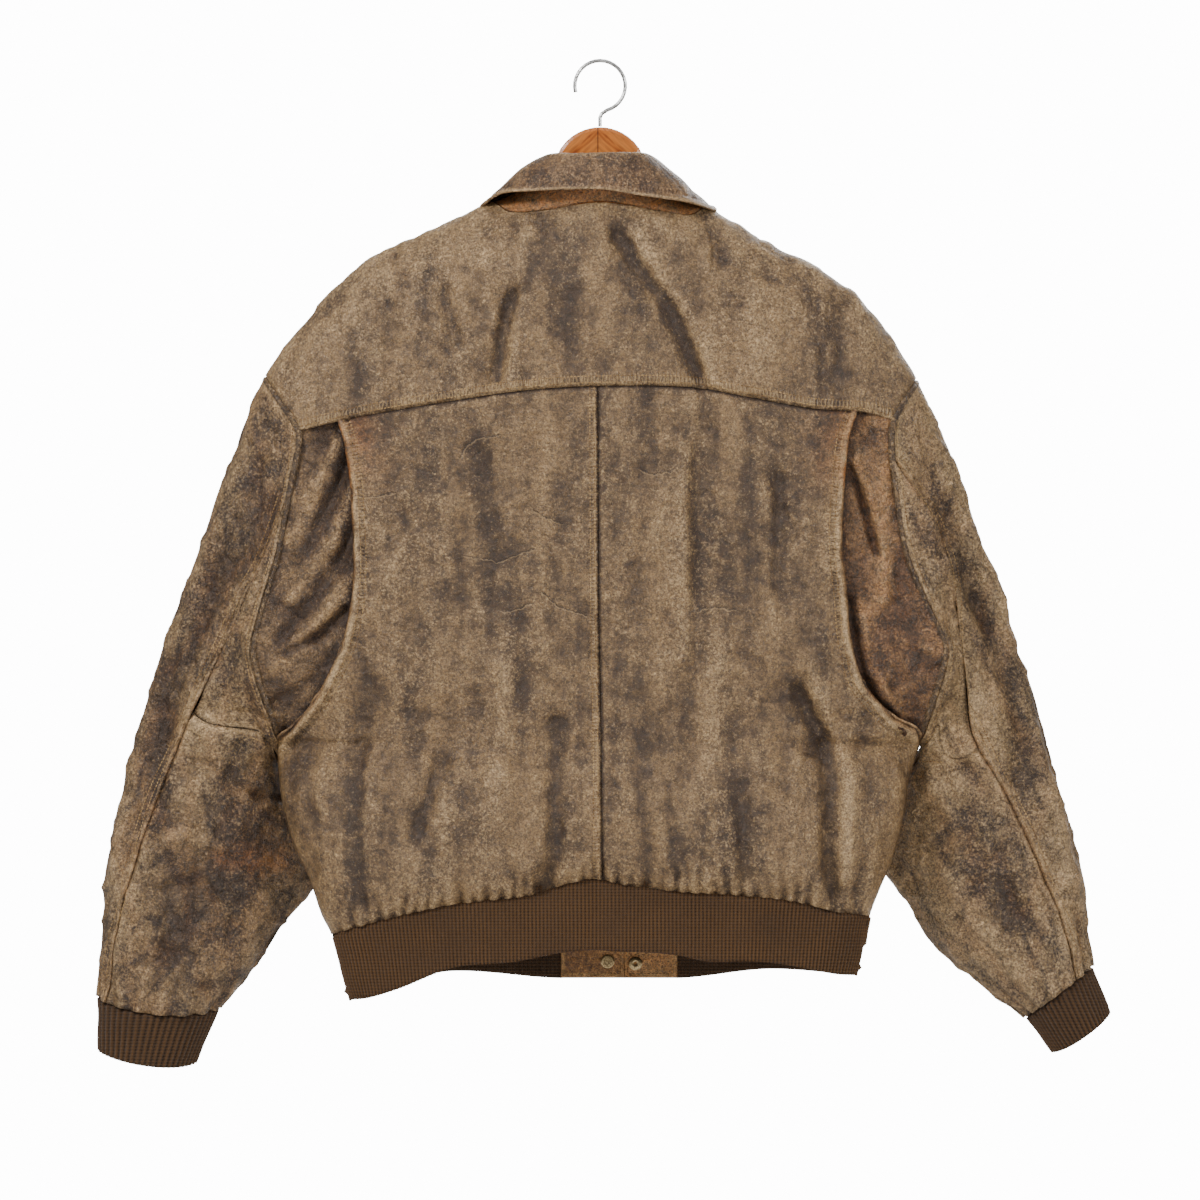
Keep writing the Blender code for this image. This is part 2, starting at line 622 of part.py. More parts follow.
def add_waistband(knit, leather):
    add_wall("hem_rib", knit, band_surface(), 2 * HEM_RIBS, 1, (0, 0.01, -0.80), KNIT, ribs=RIB_HEIGHT)
    top = HEM_LINE[FRONT][3][1] - SEAM
    bottom = BAND_BOTTOM[FRONT][3][1]
    for side, (low_x, high_x) in (("left", TAB_LEFT_X), ("right", TAB_RIGHT_X)):
        add_strip(f"hem_tab_{side}", leather, lambda z: low_x + 0 * z, lambda z: high_x + 0 * z, bottom, top,
                  4, 4, 0.0004, TAB_LEATHER)


# The sleeves and cuffs: points (t, x, y, z) of a sleeve's outer and inner edge, and where its back seam lies

SLEEVE_OUTER = {
    "left": [(0, -0.312, 0.0, -0.292), (0.15, -0.335, 0.004, -0.344), (0.30, -0.365, 0.010, -0.430),
             (0.45, -0.394, 0.014, -0.511), (0.60, -0.421, 0.018, -0.588), (0.75, -0.445, 0.022, -0.677),
             (0.88, -0.461, 0.026, -0.765), (1, -0.467, 0.030, -0.869)],
    "right": [(0, 0.295, 0.0, -0.295), (0.15, 0.319, 0.004, -0.351), (0.30, 0.349, 0.010, -0.427),
              (0.45, 0.377, 0.014, -0.509), (0.60, 0.403, 0.018, -0.584), (0.75, 0.426, 0.022, -0.663),
              (0.88, 0.448, 0.026, -0.751), (1, 0.458, 0.030, -0.841)],
}
SLEEVE_INNER = {
    "left": [(0, -0.301, 0.004, UNDERARM_Z), (0.15, -0.304, 0.016, -0.645), (0.30, -0.300, 0.032, -0.668),
             (0.45, -0.288, 0.042, -0.702), (0.60, -0.269, 0.044, -0.754), (0.75, -0.291, 0.042, -0.797),
             (0.88, -0.320, 0.038, -0.841), (1, -0.354, 0.034, -0.879)],
    "right": [(0, 0.299, 0.004, UNDERARM_Z), (0.15, 0.302, 0.016, -0.645), (0.30, 0.297, 0.032, -0.667),
              (0.45, 0.286, 0.042, -0.698), (0.60, 0.269, 0.044, -0.746), (0.75, 0.285, 0.042, -0.779),
              (0.88, 0.314, 0.038, -0.825), (1, 0.396, 0.034, -0.888)],
}
BACK_SEAM = {
    "left": [(0, 0.245), (0.086, 0.318), (0.189, 0.333), (0.283, 0.333), (0.399, 0.320), (0.517, 0.297),
             (0.687, 0.270), (0.848, 0.250), (0.924, 0.215), (1, 0.165)],
    "right": [(0, 0.190), (0.094, 0.198), (0.208, 0.208), (0.28, 0.250), (0.36, 0.345), (0.44, 0.410),
              (0.50, 0.415), (0.628, 0.373), (0.790, 0.338), (0.924, 0.297), (1, 0.310)],
}
FRONT_SEAM = -0.62  # the seam that the front hides, in half turns from the outer edge
CROSS_SEAM = {"left": (0.53, 0.37), "right": (0.55, 0.35)}  # t at the back seam, and how much less midway
CUFF_OUTER = {"left": (-0.4665, 0.030, -0.918), "right": (0.4745, 0.032, -0.884)}
CUFF_INNER = {"left": (-0.3755, 0.034, -0.930), "right": (0.4205, 0.034, -0.920)}
CUFF_LEAN = {"left": (0.38, 0.34), "right": (0.10, 0.25)}  # how far the back edge hangs below the line between them
SEAM_TURN = 0.010
ARMHOLE_SPREAD = 2.0  # how much more of the sleeve's round hangs from the upper part of the armhole
sleeve_depth = smooth_line([(0, 0.050), (0.15, 0.050), (0.30, 0.047), (0.60, 0.044), (0.85, 0.043), (0.95, 0.039),
                            (1, 0.034)])
CUFF_DEPTH = (0.033, 0.029)
sleeve_outer = {side: timed_path(points) for side, points in SLEEVE_OUTER.items()}
sleeve_inner = {side: timed_path(points) for side, points in SLEEVE_INNER.items()}
back_seam = {side: smooth_line(points) for side, points in BACK_SEAM.items()}


def ring_point(outer, inner, depth, lean, turn):
    """A place on a flat oval ring between an outer and an inner edge. turn runs from the outer edge over the back."""
    along = np.cos(turn)
    power = 1.1 + 0.4 * (1 - along) / 2
    swing = depth * np.sign(np.sin(turn)) * np.abs(np.sin(turn)) ** power
    middle = (outer + inner) / 2 + (outer - inner) / 2 * along[:, None]
    return middle + np.stack([0 * swing, -swing, -lean * swing], -1)


def sleeve_point(side, t, turn):
    def plain(t):
        lean = CUFF_LEAN[side][0] * smooth_step((t - 0.78) / 0.22)
        return ring_point(sleeve_outer[side](t), sleeve_inner[side](t), sleeve_depth(t), lean, turn)

    share = (1 - np.cos(turn)) / 2
    top, low = ARMHOLE[side][0][1], ARMHOLE[side][-1][1]
    z = top + (low - top) * (1 + ARMHOLE_SPREAD) * share / (1 + ARMHOLE_SPREAD * share)
    x = outer_x[side](z)
    is_back = np.sin(turn) > 0
    y = np.where(is_back, torso_y(x, z, BACK, 0), torso_y(x, z, FRONT, 0))
    fade = (1 - t) ** 2
    return plain(t) + (np.stack([x, y, z], -1) - plain(0 * t)) * fade[:, None]


# Folds of both sleeves: from (t, half turns) to (t, half turns), half the width, and how far it stands out, or in
SLEEVE_FOLDS = [
    ((0.10, 0.25), (0.45, 0.15), 0.06, -0.005),
    ((0.28, 0.62), (0.55, 0.30), 0.06, 0.005),
    ((0.55, 0.10), (0.85, 0.45), 0.06, -0.005),
    ((0.62, 0.62), (0.90, 0.50), 0.07, -0.005),
    ((0.80, 0.10), (0.95, 0.30), 0.05, 0.004),
    ((0.20, -0.25), (0.55, -0.35), 0.07, -0.005),
    ((0.60, -0.50), (0.90, -0.30), 0.07, -0.005),
]
SLEEVE_GATHERS = 14


def sleeve_lift(t, turn):
    """Folds along a sleeve and the gathers above its cuff."""
    half_turns = (turn / math.pi + 1) % 2 - 1
    height = np.zeros_like(t)
    for start, end, width, depth in SLEEVE_FOLDS:
        height += depth * np.exp(-((distance_to_line(t, half_turns, [start, end]) / width) ** 2))
    height *= smooth_step(t / 0.15) * smooth_step((1 - t) / 0.08)
    return height + 0.0016 * np.cos(turn * SLEEVE_GATHERS) * np.exp((t - 1) * 16)


def add_sleeve(side, material):
    sign = -1 if side == "left" else 1
    start, end = 0.0055, 0.9990
    start_cross, dip = CROSS_SEAM[side]
    inside = (sign * 0.36, 0.02, -0.66)

    def seam_turn(t):
        return math.pi * back_seam[side](t)

    def gap(t):
        return SEAM_TURN * (1 + 2 * (1 - t) ** 2)

    def add_piece(name, place, columns, rows):
        surface = lambda u, v: sleeve_point(side, *place(u, v))
        add_wall(name, material, surface, columns, rows, inside, lift=lambda u, v: sleeve_lift(*place(u, v)))

    def top_place(u, v):
        t = start + (end - start) * v
        low = math.pi * FRONT_SEAM + gap(t)
        return t, low + (seam_turn(t) - gap(t) - low) * u

    def across(t, u):
        low = seam_turn(t) + gap(t)
        return low + (math.pi * (2 + FRONT_SEAM) - gap(t) - low) * u

    def cross(u):
        return start_cross - dip * np.sin(math.pi * u) ** 1.6

    def cross_gap(u):
        return SEAM * (1 + 9 * np.sin(math.pi * u) ** 2)

    def under_place(u, v):
        low = cross(u) + cross_gap(u)
        t = low + (end - low) * v
        return t, across(t, u)

    def underarm_place(u, v):
        t = start + (cross(u) - cross_gap(u) - start) * v
        return t, across(t, u)

    add_piece(f"sleeve_top_{side}", top_place, 14, 12)
    add_piece(f"sleeve_under_{side}", under_place, 14, 7)
    add_piece(f"underarm_{side}", underarm_place, 14, 5)


def even_turns(outer, inner, depth):
    """Turns that step evenly round an oval ring, as a function of u."""
    turns = np.linspace(0, math.tau, 721)
    ring = ring_point(outer, inner, depth, 0, turns)
    share = np.concatenate([[0], np.cumsum(np.linalg.norm(np.diff(ring, axis=0), axis=1))])
    return lambda u: np.interp(u, share / share[-1], turns)


def add_cuff(side, material):
    sign = -1 if side == "left" else 1
    one = np.array([1.0])
    edges = [
        (sleeve_outer[side](one)[0], np.array(CUFF_OUTER[side])),
        (sleeve_inner[side](one)[0], np.array(CUFF_INNER[side])),
    ]
    turn_of = even_turns(edges[0][0], edges[1][0], CUFF_DEPTH[0])

    def surface(u, v):
        v = 0.009 + 0.991 * v
        down = v[:, None]
        outer, inner = [top * (1 - down) + end * down for top, end in edges]
        depth = CUFF_DEPTH[0] * (1 - v) + CUFF_DEPTH[1] * v
        lean = CUFF_LEAN[side][0] * (1 - v) + CUFF_LEAN[side][1] * v
        return ring_point(outer, inner, depth, lean, turn_of(u))

    inside = (sign * 0.42, 0.03, -0.90)
    add_wall(f"cuff_{side}", material, surface, 2 * CUFF_RIBS, 1, inside, KNIT, closed=True, ribs=RIB_HEIGHT)


# The collar: points from the left front round the back to the right front

COLLAR_FOLD = [(-0.012, 0.080, -0.206), (-0.035, 0.072, -0.180), (-0.056, 0.045, -0.136), (-0.061, 0.012, -0.097),
               (-0.050, -0.018, -0.0845), (-0.022, -0.036, -0.0835), (0.0, -0.040, -0.083), (0.020, -0.036, -0.0825),
               (0.044, -0.018, -0.0840), (0.059, 0.012, -0.099), (0.056, 0.045, -0.139), (0.035, 0.072, -0.182),
               (0.012, 0.080, -0.206)]
# its outer edge: over the back as (x, y, z), and down each front as (x, z), laid on the front
COLLAR_EDGE_BACK = [(-0.1115, -0.004, -0.1335), (-0.093, -0.030, -0.1215), (-0.065, -0.043, -0.1195),
                    (0.0, -0.050, -0.1180), (0.037, -0.048, -0.1235), (0.060, -0.044, -0.1265),
                    (0.084, -0.034, -0.1300), (0.1075, -0.004, -0.1375)]
COLLAR_EDGE_SIDE = [(0.1085, 0.008), (0.1085, 0.022)]  # over the shoulder, as (x, run)
COLLAR_EDGE_FRONT = [(0.074, -0.268), (0.094, -0.205), (0.107, -0.168)]
EDGE_LIFT = 0.0060


def laid_on_front(points):
    x, z = np.array(points, float).T
    return [tuple(place) for place in on_body(x, z, FRONT, EDGE_LIFT)]


def laid_on_shoulder(points):
    x, run = np.array(points, float).T
    steps = run[:, None] + np.array([0, -0.001, 0.001])
    z = roof_z(x[:, None], steps)
    y = torso_y(x[:, None] + 0 * z, z, FRONT)
    away = np.stack([z[:, 1] - z[:, 2], y[:, 2] - y[:, 1]], -1)
    away /= np.linalg.norm(away, axis=1, keepdims=True)
    return [tuple(place) for place in np.stack([x, y[:, 0] + EDGE_LIFT * away[:, 0], z[:, 0] + EDGE_LIFT * away[:, 1]], -1)]


def shifted(curve, outward, upward):
    """A curve of the collar moved away from the neck's middle, and up."""

    def point(p):
        place = curve(p)
        away = place[:, :2] - np.array([0, 0.025])
        away /= np.linalg.norm(away, axis=1, keepdims=True)
        return place + np.concatenate([away * outward, np.full((len(place), 1), upward)], 1)

    return point


def add_collar(material):
    fold = smooth_path(COLLAR_FOLD)
    edge_points = laid_on_front(mirrored(COLLAR_EDGE_FRONT)) + laid_on_shoulder(mirrored(COLLAR_EDGE_SIDE[::-1]))
    edge_points += COLLAR_EDGE_BACK + laid_on_shoulder(COLLAR_EDGE_SIDE) + laid_on_front(COLLAR_EDGE_FRONT[::-1])
    edge = smooth_path(edge_points)
    curves = [shifted(fold, -0.0030, -0.0060), shifted(fold, -0.0015, -0.0008), shifted(fold, 0.0030, -0.0020),
              lambda p: (shifted(fold, 0.004, -0.004)(p) + edge(p)) / 2 + np.array([0, 0, 0.005]), edge]
    leaf = skin(curves, [0, 0.10, 0.20, 0.60, 1])
    add_wall("collar_leaf", material, leaf, 28, 6, (0, 0.02, -0.16))

    front = [(x, run) for x, run in NECK_FRONT]
    neck = [(-x, run) for x, run in front + NECK_HALF[:1]] + [(-x, run) for x, run in NECK_HALF[1:]]
    neck += [(0.0, NECK_BACK)] + NECK_HALF[::-1] + front[::-1]
    x, run = np.array(neck).T
    z = roof_z(x, run)
    y = np.where(run < 0, torso_y(x, z, BACK), torso_y(x, z, FRONT))
    seat = smooth_path(np.stack([x, y, z], -1))
    stand = skin([shifted(seat, -0.0040, 0.0026), shifted(fold, -0.0040, -0.0110)], [0, 1])
    add_wall("collar_stand", material, stand, 28, 2, (0, 0.02, -0.16))


# Snaps, slider, pull tab and hanger


def body_frame(x, z, face, lift):
    """Where a hard piece sits on the body, with its own Z pointing straight out of the cloth."""
    spot = np.array([[x, z], [x + 0.004, z], [x - 0.004, z], [x, z + 0.004], [x, z - 0.004]])
    places = on_body(spot[:, 0], spot[:, 1], FRONT)
    outward = Vector(np.cross(places[1] - places[2], places[3] - places[4]) * -1).normalized()
    turned = (outward * face).to_track_quat("Z", "Y").to_matrix().to_4x4()
    return Matrix.Translation(Vector(places[0]) + outward * lift) @ turned


def add_turned(name, profile, material, frame, steps=20, loop=False):
    """A turned piece: a profile of points (radius, height), from the top down its outer side."""
    work = bmesh.new()
    points = [work.verts.new((radius, 0, height)) for radius, height in profile]
    edges = [work.edges.new(pair) for pair in zip(points, points[1:])]
    if loop:
        edges.append(work.edges.new((points[-1], points[0])))
    bmesh.ops.spin(work, geom=points + edges, cent=(0, 0, 0), axis=(0, 0, 1), angle=math.tau, steps=steps,
                   use_merge=True)
    bmesh.ops.remove_doubles(work, verts=work.verts, dist=0.00001)
    bmesh.ops.recalc_face_normals(work, faces=work.faces)
    mesh = bpy.data.meshes.new(name)
    work.to_mesh(mesh)
    work.free()
    piece = new_object(name, mesh, material)
    piece.matrix_world = frame
    return piece


def add_snaps(metal):
    outer = 0.0004 + 0.0003
    inner = 0.0004 - TAB_LEATHER - 0.0003
    add_turned("snap_cap", [(0, 0.0022), (0.0040, 0.0018), (0.0065, 0.0008), (0.0068, 0), (0, 0)],
               metal, body_frame(*SNAP_LEFT, 1, outer))
    socket = [(0, 0.0007), (0.0026, 0.0007), (0.0031, 0.0022), (0.0052, 0.0021), (0.0065, 0.0010), (0.0065, 0), (0, 0)]
    add_turned("snap_socket", socket, metal, body_frame(*SNAP_LEFT, -1, inner))
    eyelet = [(0.0017, 0.0014), (0.0032, 0.0017), (0.0054, 0.0012), (0.0064, 0.0004), (0.0064, 0), (0.0017, 0)]
    add_turned("snap_eyelet", eyelet, metal, body_frame(*SNAP_RIGHT, -1, inner), loop=True)
    stud = [(0, 0.0038), (0.0018, 0.0034), (0.0021, 0.0027), (0.0017, 0.0016), (0.0032, 0.0012), (0.0062, 0.0006),
            (0.0064, 0), (0, 0)]
    add_turned("snap_stud", stud, metal, body_frame(*SNAP_RIGHT, 1, outer))


def add_box(name, size, centre, bevel, material):
    work = bmesh.new()
    bmesh.ops.create_cube(work, size=1)
    bmesh.ops.scale(work, verts=work.verts, vec=size)
    bmesh.ops.translate(work, verts=work.verts, vec=centre)
    if bevel:
        bmesh.ops.bevel(work, geom=work.edges[:], offset=bevel, segments=1, profile=0.5, affect="EDGES",
                        material=-1)
    mesh = bpy.data.meshes.new(name)
    work.to_mesh(mesh)
    work.free()
    return new_object(name, mesh, material)


def add_plate(name, outlines, thickness, edge, material):
    """A flat plate cut to closed outlines (x, z), with rounded edges, standing in the plane y = 0."""
    curve = bpy.data.curves.new(name, "CURVE")
    curve.dimensions = "2D"
    curve.fill_mode = "BOTH"
    curve.extrude = thickness / 2 - edge
    curve.bevel_depth = edge
    curve.bevel_resolution = 1
    curve.offset = -edge
    for points in outlines:
        spline = curve.splines.new("POLY")
        spline.points.add(len(points) - 1)
        for point, (x, z) in zip(spline.points, points):
            point.co = (x, z, 0, 1)
        spline.use_cyclic_u = True
    flat = bpy.data.objects.new(name, curve)
    collection.objects.link(flat)
    mesh = bpy.data.meshes.new_from_object(flat.evaluated_get(bpy.context.evaluated_depsgraph_get()))
    bpy.data.objects.remove(flat, do_unlink=True)
    close_up(mesh)
    plate = new_object(name, mesh, material)
    plate.rotation_euler = (math.pi / 2, 0, 0)
    return plate


def close_up(mesh):
    work = bmesh.new()
    work.from_mesh(mesh)
    bmesh.ops.remove_doubles(work, verts=work.verts, dist=0.00001)
    bmesh.ops.recalc_face_normals(work, faces=work.faces)
    work.to_mesh(mesh)
    work.free()


def joined(name, pieces):
    """One solid from several that overlap."""
    whole = pieces[0]
    for piece in pieces[1:]:
        union = whole.modifiers.new("union", "BOOLEAN")
        union.operation = "UNION"
        union.object = piece
    mesh = bpy.data.meshes.new_from_object(whole.evaluated_get(bpy.context.evaluated_depsgraph_get()))
    for piece in pieces:
        bpy.data.objects.remove(piece, do_unlink=True)
    result = bpy.data.objects.new(name, mesh)
    collection.objects.link(result)
    return result


def add_slider(metal):
    """The slider with its bridge, and the tab that hangs from it."""
    z = ZIP_TOP - 0.004
    x = float(zip_x(z))
    face_y = float(torso_y(np.array([x]), np.array([z]), FRONT)[0]) - 0.0008
    top_y = face_y + SLIDER[1]
    hinge = (x, top_y + HINGE_HEIGHT, z + HINGE_UP)
    body = add_box("body", SLIDER, (x, face_y + SLIDER[1] / 2, z), 0.0006, metal)
    bridge_z = hinge[2] + (BRIDGE_UP - BRIDGE_DOWN) / 2
    bridge_y = top_y + BRIDGE_HEIGHT
    posts = [
        add_box("post", (BRIDGE_WIDTH, BRIDGE_HEIGHT + 0.001, BRIDGE_WIRE),
                (x, top_y + BRIDGE_HEIGHT / 2, hinge[2] + reach), 0, metal)
        for reach in (BRIDGE_UP - BRIDGE_WIRE / 2, BRIDGE_WIRE / 2 - BRIDGE_DOWN)
    ]
    span = add_box("span", (BRIDGE_WIDTH, BRIDGE_WIRE, BRIDGE_UP + BRIDGE_DOWN), (x, bridge_y, bridge_z), 0, metal)
    bpy.context.view_layer.update()
    joined("zip_slider", [body, *posts, span])

    top, slot_end, neck, wide, slot = 0.0007, 0.0058, 0.0027, 0.0036, 0.0014
    outline = [(-neck, top), (neck, top), (neck, -0.0065), (wide, -0.0085), (wide, -TAB_LENGTH + 0.0030),
               (0.0020, -TAB_LENGTH), (-0.0020, -TAB_LENGTH), (-wide, -TAB_LENGTH + 0.0030), (-wide, -0.0085),
               (-neck, -0.0065)]
    hole = [(-slot, -top), (-slot, -slot_end), (slot, -slot_end), (slot, -top)]
    tab = add_plate("zip_pull_tab", [outline, hole], TAB_THICKNESS, 0, metal)
    tab.location = hinge


def hanger_top(x):
    """The upper edge of the wood: the crown's arc, then just below the cloth of the shoulders."""
    arc_z = CROWN_TOP - CROWN_RADIUS
    arc = arc_z + np.sqrt(np.maximum(CROWN_RADIUS**2 - x**2, 0))
    under_cloth = ridge_z(x) - WOOD_BELOW_RIDGE
    away = np.abs(x)
    shoulder = smooth_step((away - 0.070) / 0.035)
    neck = arc_z - 0.008 - (away - 0.040) * 0.50
    low = neck * (1 - shoulder) + under_cloth * shoulder
    return np.where(away < 0.0425, np.maximum(arc, arc_z - 0.006), low)


def add_hanger(wood, steel):
    xs = np.concatenate([np.linspace(-ARM_END, -0.046, 15), np.linspace(-0.042, 0.042, 17),
                         np.linspace(0.046, ARM_END, 15)])
    top = hanger_top(xs)
    low_xs = np.linspace(ARM_END - 0.004, -ARM_END + 0.004, 17)
    drop = 0.017 + 0.020 * np.cos(low_xs / ARM_END * math.pi / 2)
    mid = np.abs(low_xs) < 0.09
    low_top = np.where(mid, -0.128 - 0.10 * np.abs(low_xs), ridge_z(low_xs))
    outline = list(zip(xs, top)) + list(zip(low_xs, low_top - drop))
    add_plate("hanger_wood", [outline], BOARD, 0.003, wood)

    reach = HOOK_RADIUS + HOOK_WIRE / 2
    centre_z = -HOOK_RADIUS
    stem = [(0.0, CROWN_TOP + SEAM), (0.0, centre_z - reach - 0.006), (0.0015, centre_z - reach - 0.0025)]
    loop = [(reach * math.cos(angle), centre_z + reach * math.sin(angle))
            for angle in np.radians(np.linspace(-74, 195, 24))]
    curve = bpy.data.curves.new("hanger_hook", "CURVE")
    curve.dimensions = "3D"
    curve.bevel_depth = HOOK_WIRE / 2
    curve.bevel_resolution = 2
    curve.use_fill_caps = True
    spline = curve.splines.new("POLY")
    spline.points.add(len(stem + loop) - 1)
    for point, (x, z) in zip(spline.points, stem + loop):
        point.co = (x, 0, z, 1)
    path = bpy.data.objects.new("hanger_hook", curve)
    collection.objects.link(path)
    mesh = bpy.data.meshes.new_from_object(path.evaluated_get(bpy.context.evaluated_depsgraph_get()))
    bpy.data.objects.remove(path, do_unlink=True)
    close_up(mesh)
    new_object("hanger_hook", mesh, steel)


# Built in order


def clear_scene():
    for item in list(bpy.context.scene.objects):
        bpy.data.objects.remove(item, do_unlink=True)


def new_material(name, colour, roughness, metallic=0.0):
    material = bpy.data.materials.new(name)
    material.use_nodes = True
    shader = material.node_tree.nodes["Principled BSDF"]
    shader.inputs["Base Color"].default_value = (*colour, 1.0)
    shader.inputs["Roughness"].default_value = roughness
    shader.inputs["Metallic"].default_value = metallic
    return material


clear_scene()
collection = bpy.data.collections.new("leather_jacket")
bpy.context.scene.collection.children.link(collection)
leather = new_material("worn_brown_leather", (0.17, 0.11, 0.07), 0.45)
tab_leather = new_material("tan_tab_leather", (0.24, 0.13, 0.07), 0.50)
knit = new_material("olive_brown_rib_knit", (0.085, 0.045, 0.017), 0.90)
tape = new_material("zip_tape", (0.03, 0.02, 0.015), 0.85)
brass = new_material("aged_brass", (0.45, 0.36, 0.20), 0.35, 1.0)
wood = new_material("varnished_wood", (0.42, 0.13, 0.03), 0.30)
steel = new_material("hook_steel", (0.60, 0.60, 0.60), 0.25, 1.0)

add_yoke(leather)
for side in ("left", "right"):
    add_back_panel(side, leather)
    add_gusset(side, leather)
    add_front(side, leather)
    add_sleeve(side, leather)
    add_cuff(side, knit)
add_zip(tape, brass)
add_waistband(knit, tab_leather)
add_collar(leather)
add_snaps(brass)
add_slider(brass)
add_hanger(wood, steel)
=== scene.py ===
# %% [markdown]
# # A worn leather jacket on its hanger
# The imported model gives each piece its true place and size, but its leather is a plain, coarse wall. Here every
# piece of leather and knit is laid out again on a fine grid over the same surface, with its folds, seams, stitches
# and wear, with painted highlight and painted shade in its colour, and gets a material made only of nodes.
# Everything is in metres: the origin is the inner top of the hook, +Z is up, and the jacket's back faces -Y.

import math

import bmesh
import bpy
import numpy as np
from mathutils import Matrix, Vector
from mathutils.bvhtree import BVHTree


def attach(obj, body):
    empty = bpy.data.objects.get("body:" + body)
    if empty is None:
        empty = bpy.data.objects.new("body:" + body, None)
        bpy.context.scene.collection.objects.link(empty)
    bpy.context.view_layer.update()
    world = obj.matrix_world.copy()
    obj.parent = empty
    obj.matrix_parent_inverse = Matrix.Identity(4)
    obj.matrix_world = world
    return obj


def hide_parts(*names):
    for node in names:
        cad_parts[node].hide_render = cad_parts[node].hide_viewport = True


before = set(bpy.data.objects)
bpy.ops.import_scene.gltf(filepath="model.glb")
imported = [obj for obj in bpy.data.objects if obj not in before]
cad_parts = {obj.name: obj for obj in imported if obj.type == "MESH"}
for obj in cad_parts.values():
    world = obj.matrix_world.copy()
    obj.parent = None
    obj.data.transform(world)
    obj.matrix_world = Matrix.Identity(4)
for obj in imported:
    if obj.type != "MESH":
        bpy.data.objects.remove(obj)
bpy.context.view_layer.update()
FINE = 1.0

# %% [markdown]
# ## The camera, the light and the floor
# The photograph is taken straight at the jacket's back from far away, so an orthographic camera gives its frame:
# 1200 pixels of 0.93 mm each. Soft studio light is a few large area lights and a pale world. The world is brighter
# to the camera than to the jacket, so that the background stays white while the leather keeps its contrast.

# %% The camera
PIXEL = 0.00093
camera_data = bpy.data.cameras.new("camera")
camera_data.type = "ORTHO"
camera_data.ortho_scale = 1200 * PIXEL
camera_data.clip_end = 20
camera = bpy.data.objects.new("camera", camera_data)
camera.location = (0, -3, -0.060 - (600 - 127) * PIXEL)
camera.rotation_euler = (math.pi / 2, 0, 0)
bpy.context.collection.objects.link(camera)
bpy.context.scene.camera = camera


# %% The studio
def add_light(name, place, size, watts):
    """A large square light that faces the jacket's middle."""
    data = bpy.data.lights.new(name, "AREA")
    data.size = size
    data.energy = watts
    lamp = bpy.data.objects.new(name, data)
    lamp.location = place
    lamp.rotation_euler = (Vector((0, 0, -0.5)) - Vector(place)).to_track_quat("-Z", "Y").to_euler()
    bpy.context.collection.objects.link(lamp)


add_light("key", (-1.9, -1.7, 1.25), 0.7, 82)
add_light("fill", (2.1, -1.9, 0.2), 1.2, 34)
add_light("top", (0.3, -0.9, 2.2), 1.2, 34)
add_light("behind", (0.6, 2.6, 0.8), 2.0, 62)

world = bpy.data.worlds.new("studio")
world.use_nodes = True
bpy.context.scene.world = world
tree = world.node_tree
path = tree.nodes.new("ShaderNodeLightPath")
mix = tree.nodes.new("ShaderNodeMapRange")
mix.inputs["To Min"].default_value = 0.30
mix.inputs["To Max"].default_value = 14.0
tree.links.new(path.outputs["Is Camera Ray"], mix.inputs["Value"])
tree.links.new(mix.outputs["Result"], tree.nodes["Background"].inputs["Strength"])
tree.nodes["Background"].inputs["Color"].default_value = (1, 1, 1, 1)

# %% [markdown]
# ## Materials
# A colour is written as it is on screen, as a hex number, and turned into the linear value that Blender works
# with. Every pattern is set out in metres on the piece itself: its scale is one over the size of a grain, a crack
# or a blotch. Large changes, such as a rubbed edge, come from values that each piece carries on its vertices.


# %% Colours and nodes
def colour(code):
    """A screen colour such as "#7b6550" as linear red, green, blue and alpha."""
    parts = [int(code[at : at + 2], 16) / 255 for at in (1, 3, 5)]
    return (*[part / 12.92 if part <= 0.04045 else ((part + 0.055) / 1.055) ** 2.4 for part in parts], 1.0)


def add_node(tree, kind, settings=None, inputs=None):
    """Adds one node. inputs gives a socket a value, or links another node's output to it."""
    node = tree.nodes.new(kind)
    for name, value in (settings or {}).items():
        setattr(node, name, value)
    for socket, value in (inputs or {}).items():
        if isinstance(value, bpy.types.NodeSocket):
            tree.links.new(value, node.inputs[socket])
        else:
            node.inputs[socket].default_value = value
    return node


def new_material(name, inputs):
    """A material with one shader, whose plain values are set straight on it."""
    material = bpy.data.materials.new(name)
    material.use_nodes = True
    shader = material.node_tree.nodes["Principled BSDF"]
    for socket, value in inputs.items():
        shader.inputs[socket].default_value = value
    return material, material.node_tree, shader


def mixed(tree, share, first, second, kind="MIX"):
    """A colour between two others."""
    node = add_node(tree, "ShaderNodeMix", {"data_type": "RGBA", "blend_type": kind})
    for socket, value in ((0, share), (6, first), (7, second)):
        if isinstance(value, bpy.types.NodeSocket):
            tree.links.new(value, node.inputs[socket])
        else:
            node.inputs[socket].default_value = value
    return node.outputs[2]


def scaled(tree, value, low, high, to_low=0.0, to_high=1.0):
    """A value stretched from one range to another."""
    inputs = {"Value": value, "From Min": low, "From Max": high, "To Min": to_low, "To Max": to_high}
    return add_node(tree, "ShaderNodeMapRange", {"interpolation_type": "SMOOTHSTEP"}, inputs).outputs["Result"]


def reckoned(tree, operation, first, second=0.0):
    return add_node(tree, "ShaderNodeMath", {"operation": operation}, {0: first, 1: second}).outputs[0]


def noise(tree, where, per_metre, detail=3.0, roughness=0.5, distortion=0.0):
    inputs = {"Vector": where, "Scale": per_metre, "Detail": detail, "Roughness": roughness, "Distortion": distortion}
    return add_node(tree, "ShaderNodeTexNoise", inputs=inputs).outputs["Fac"]


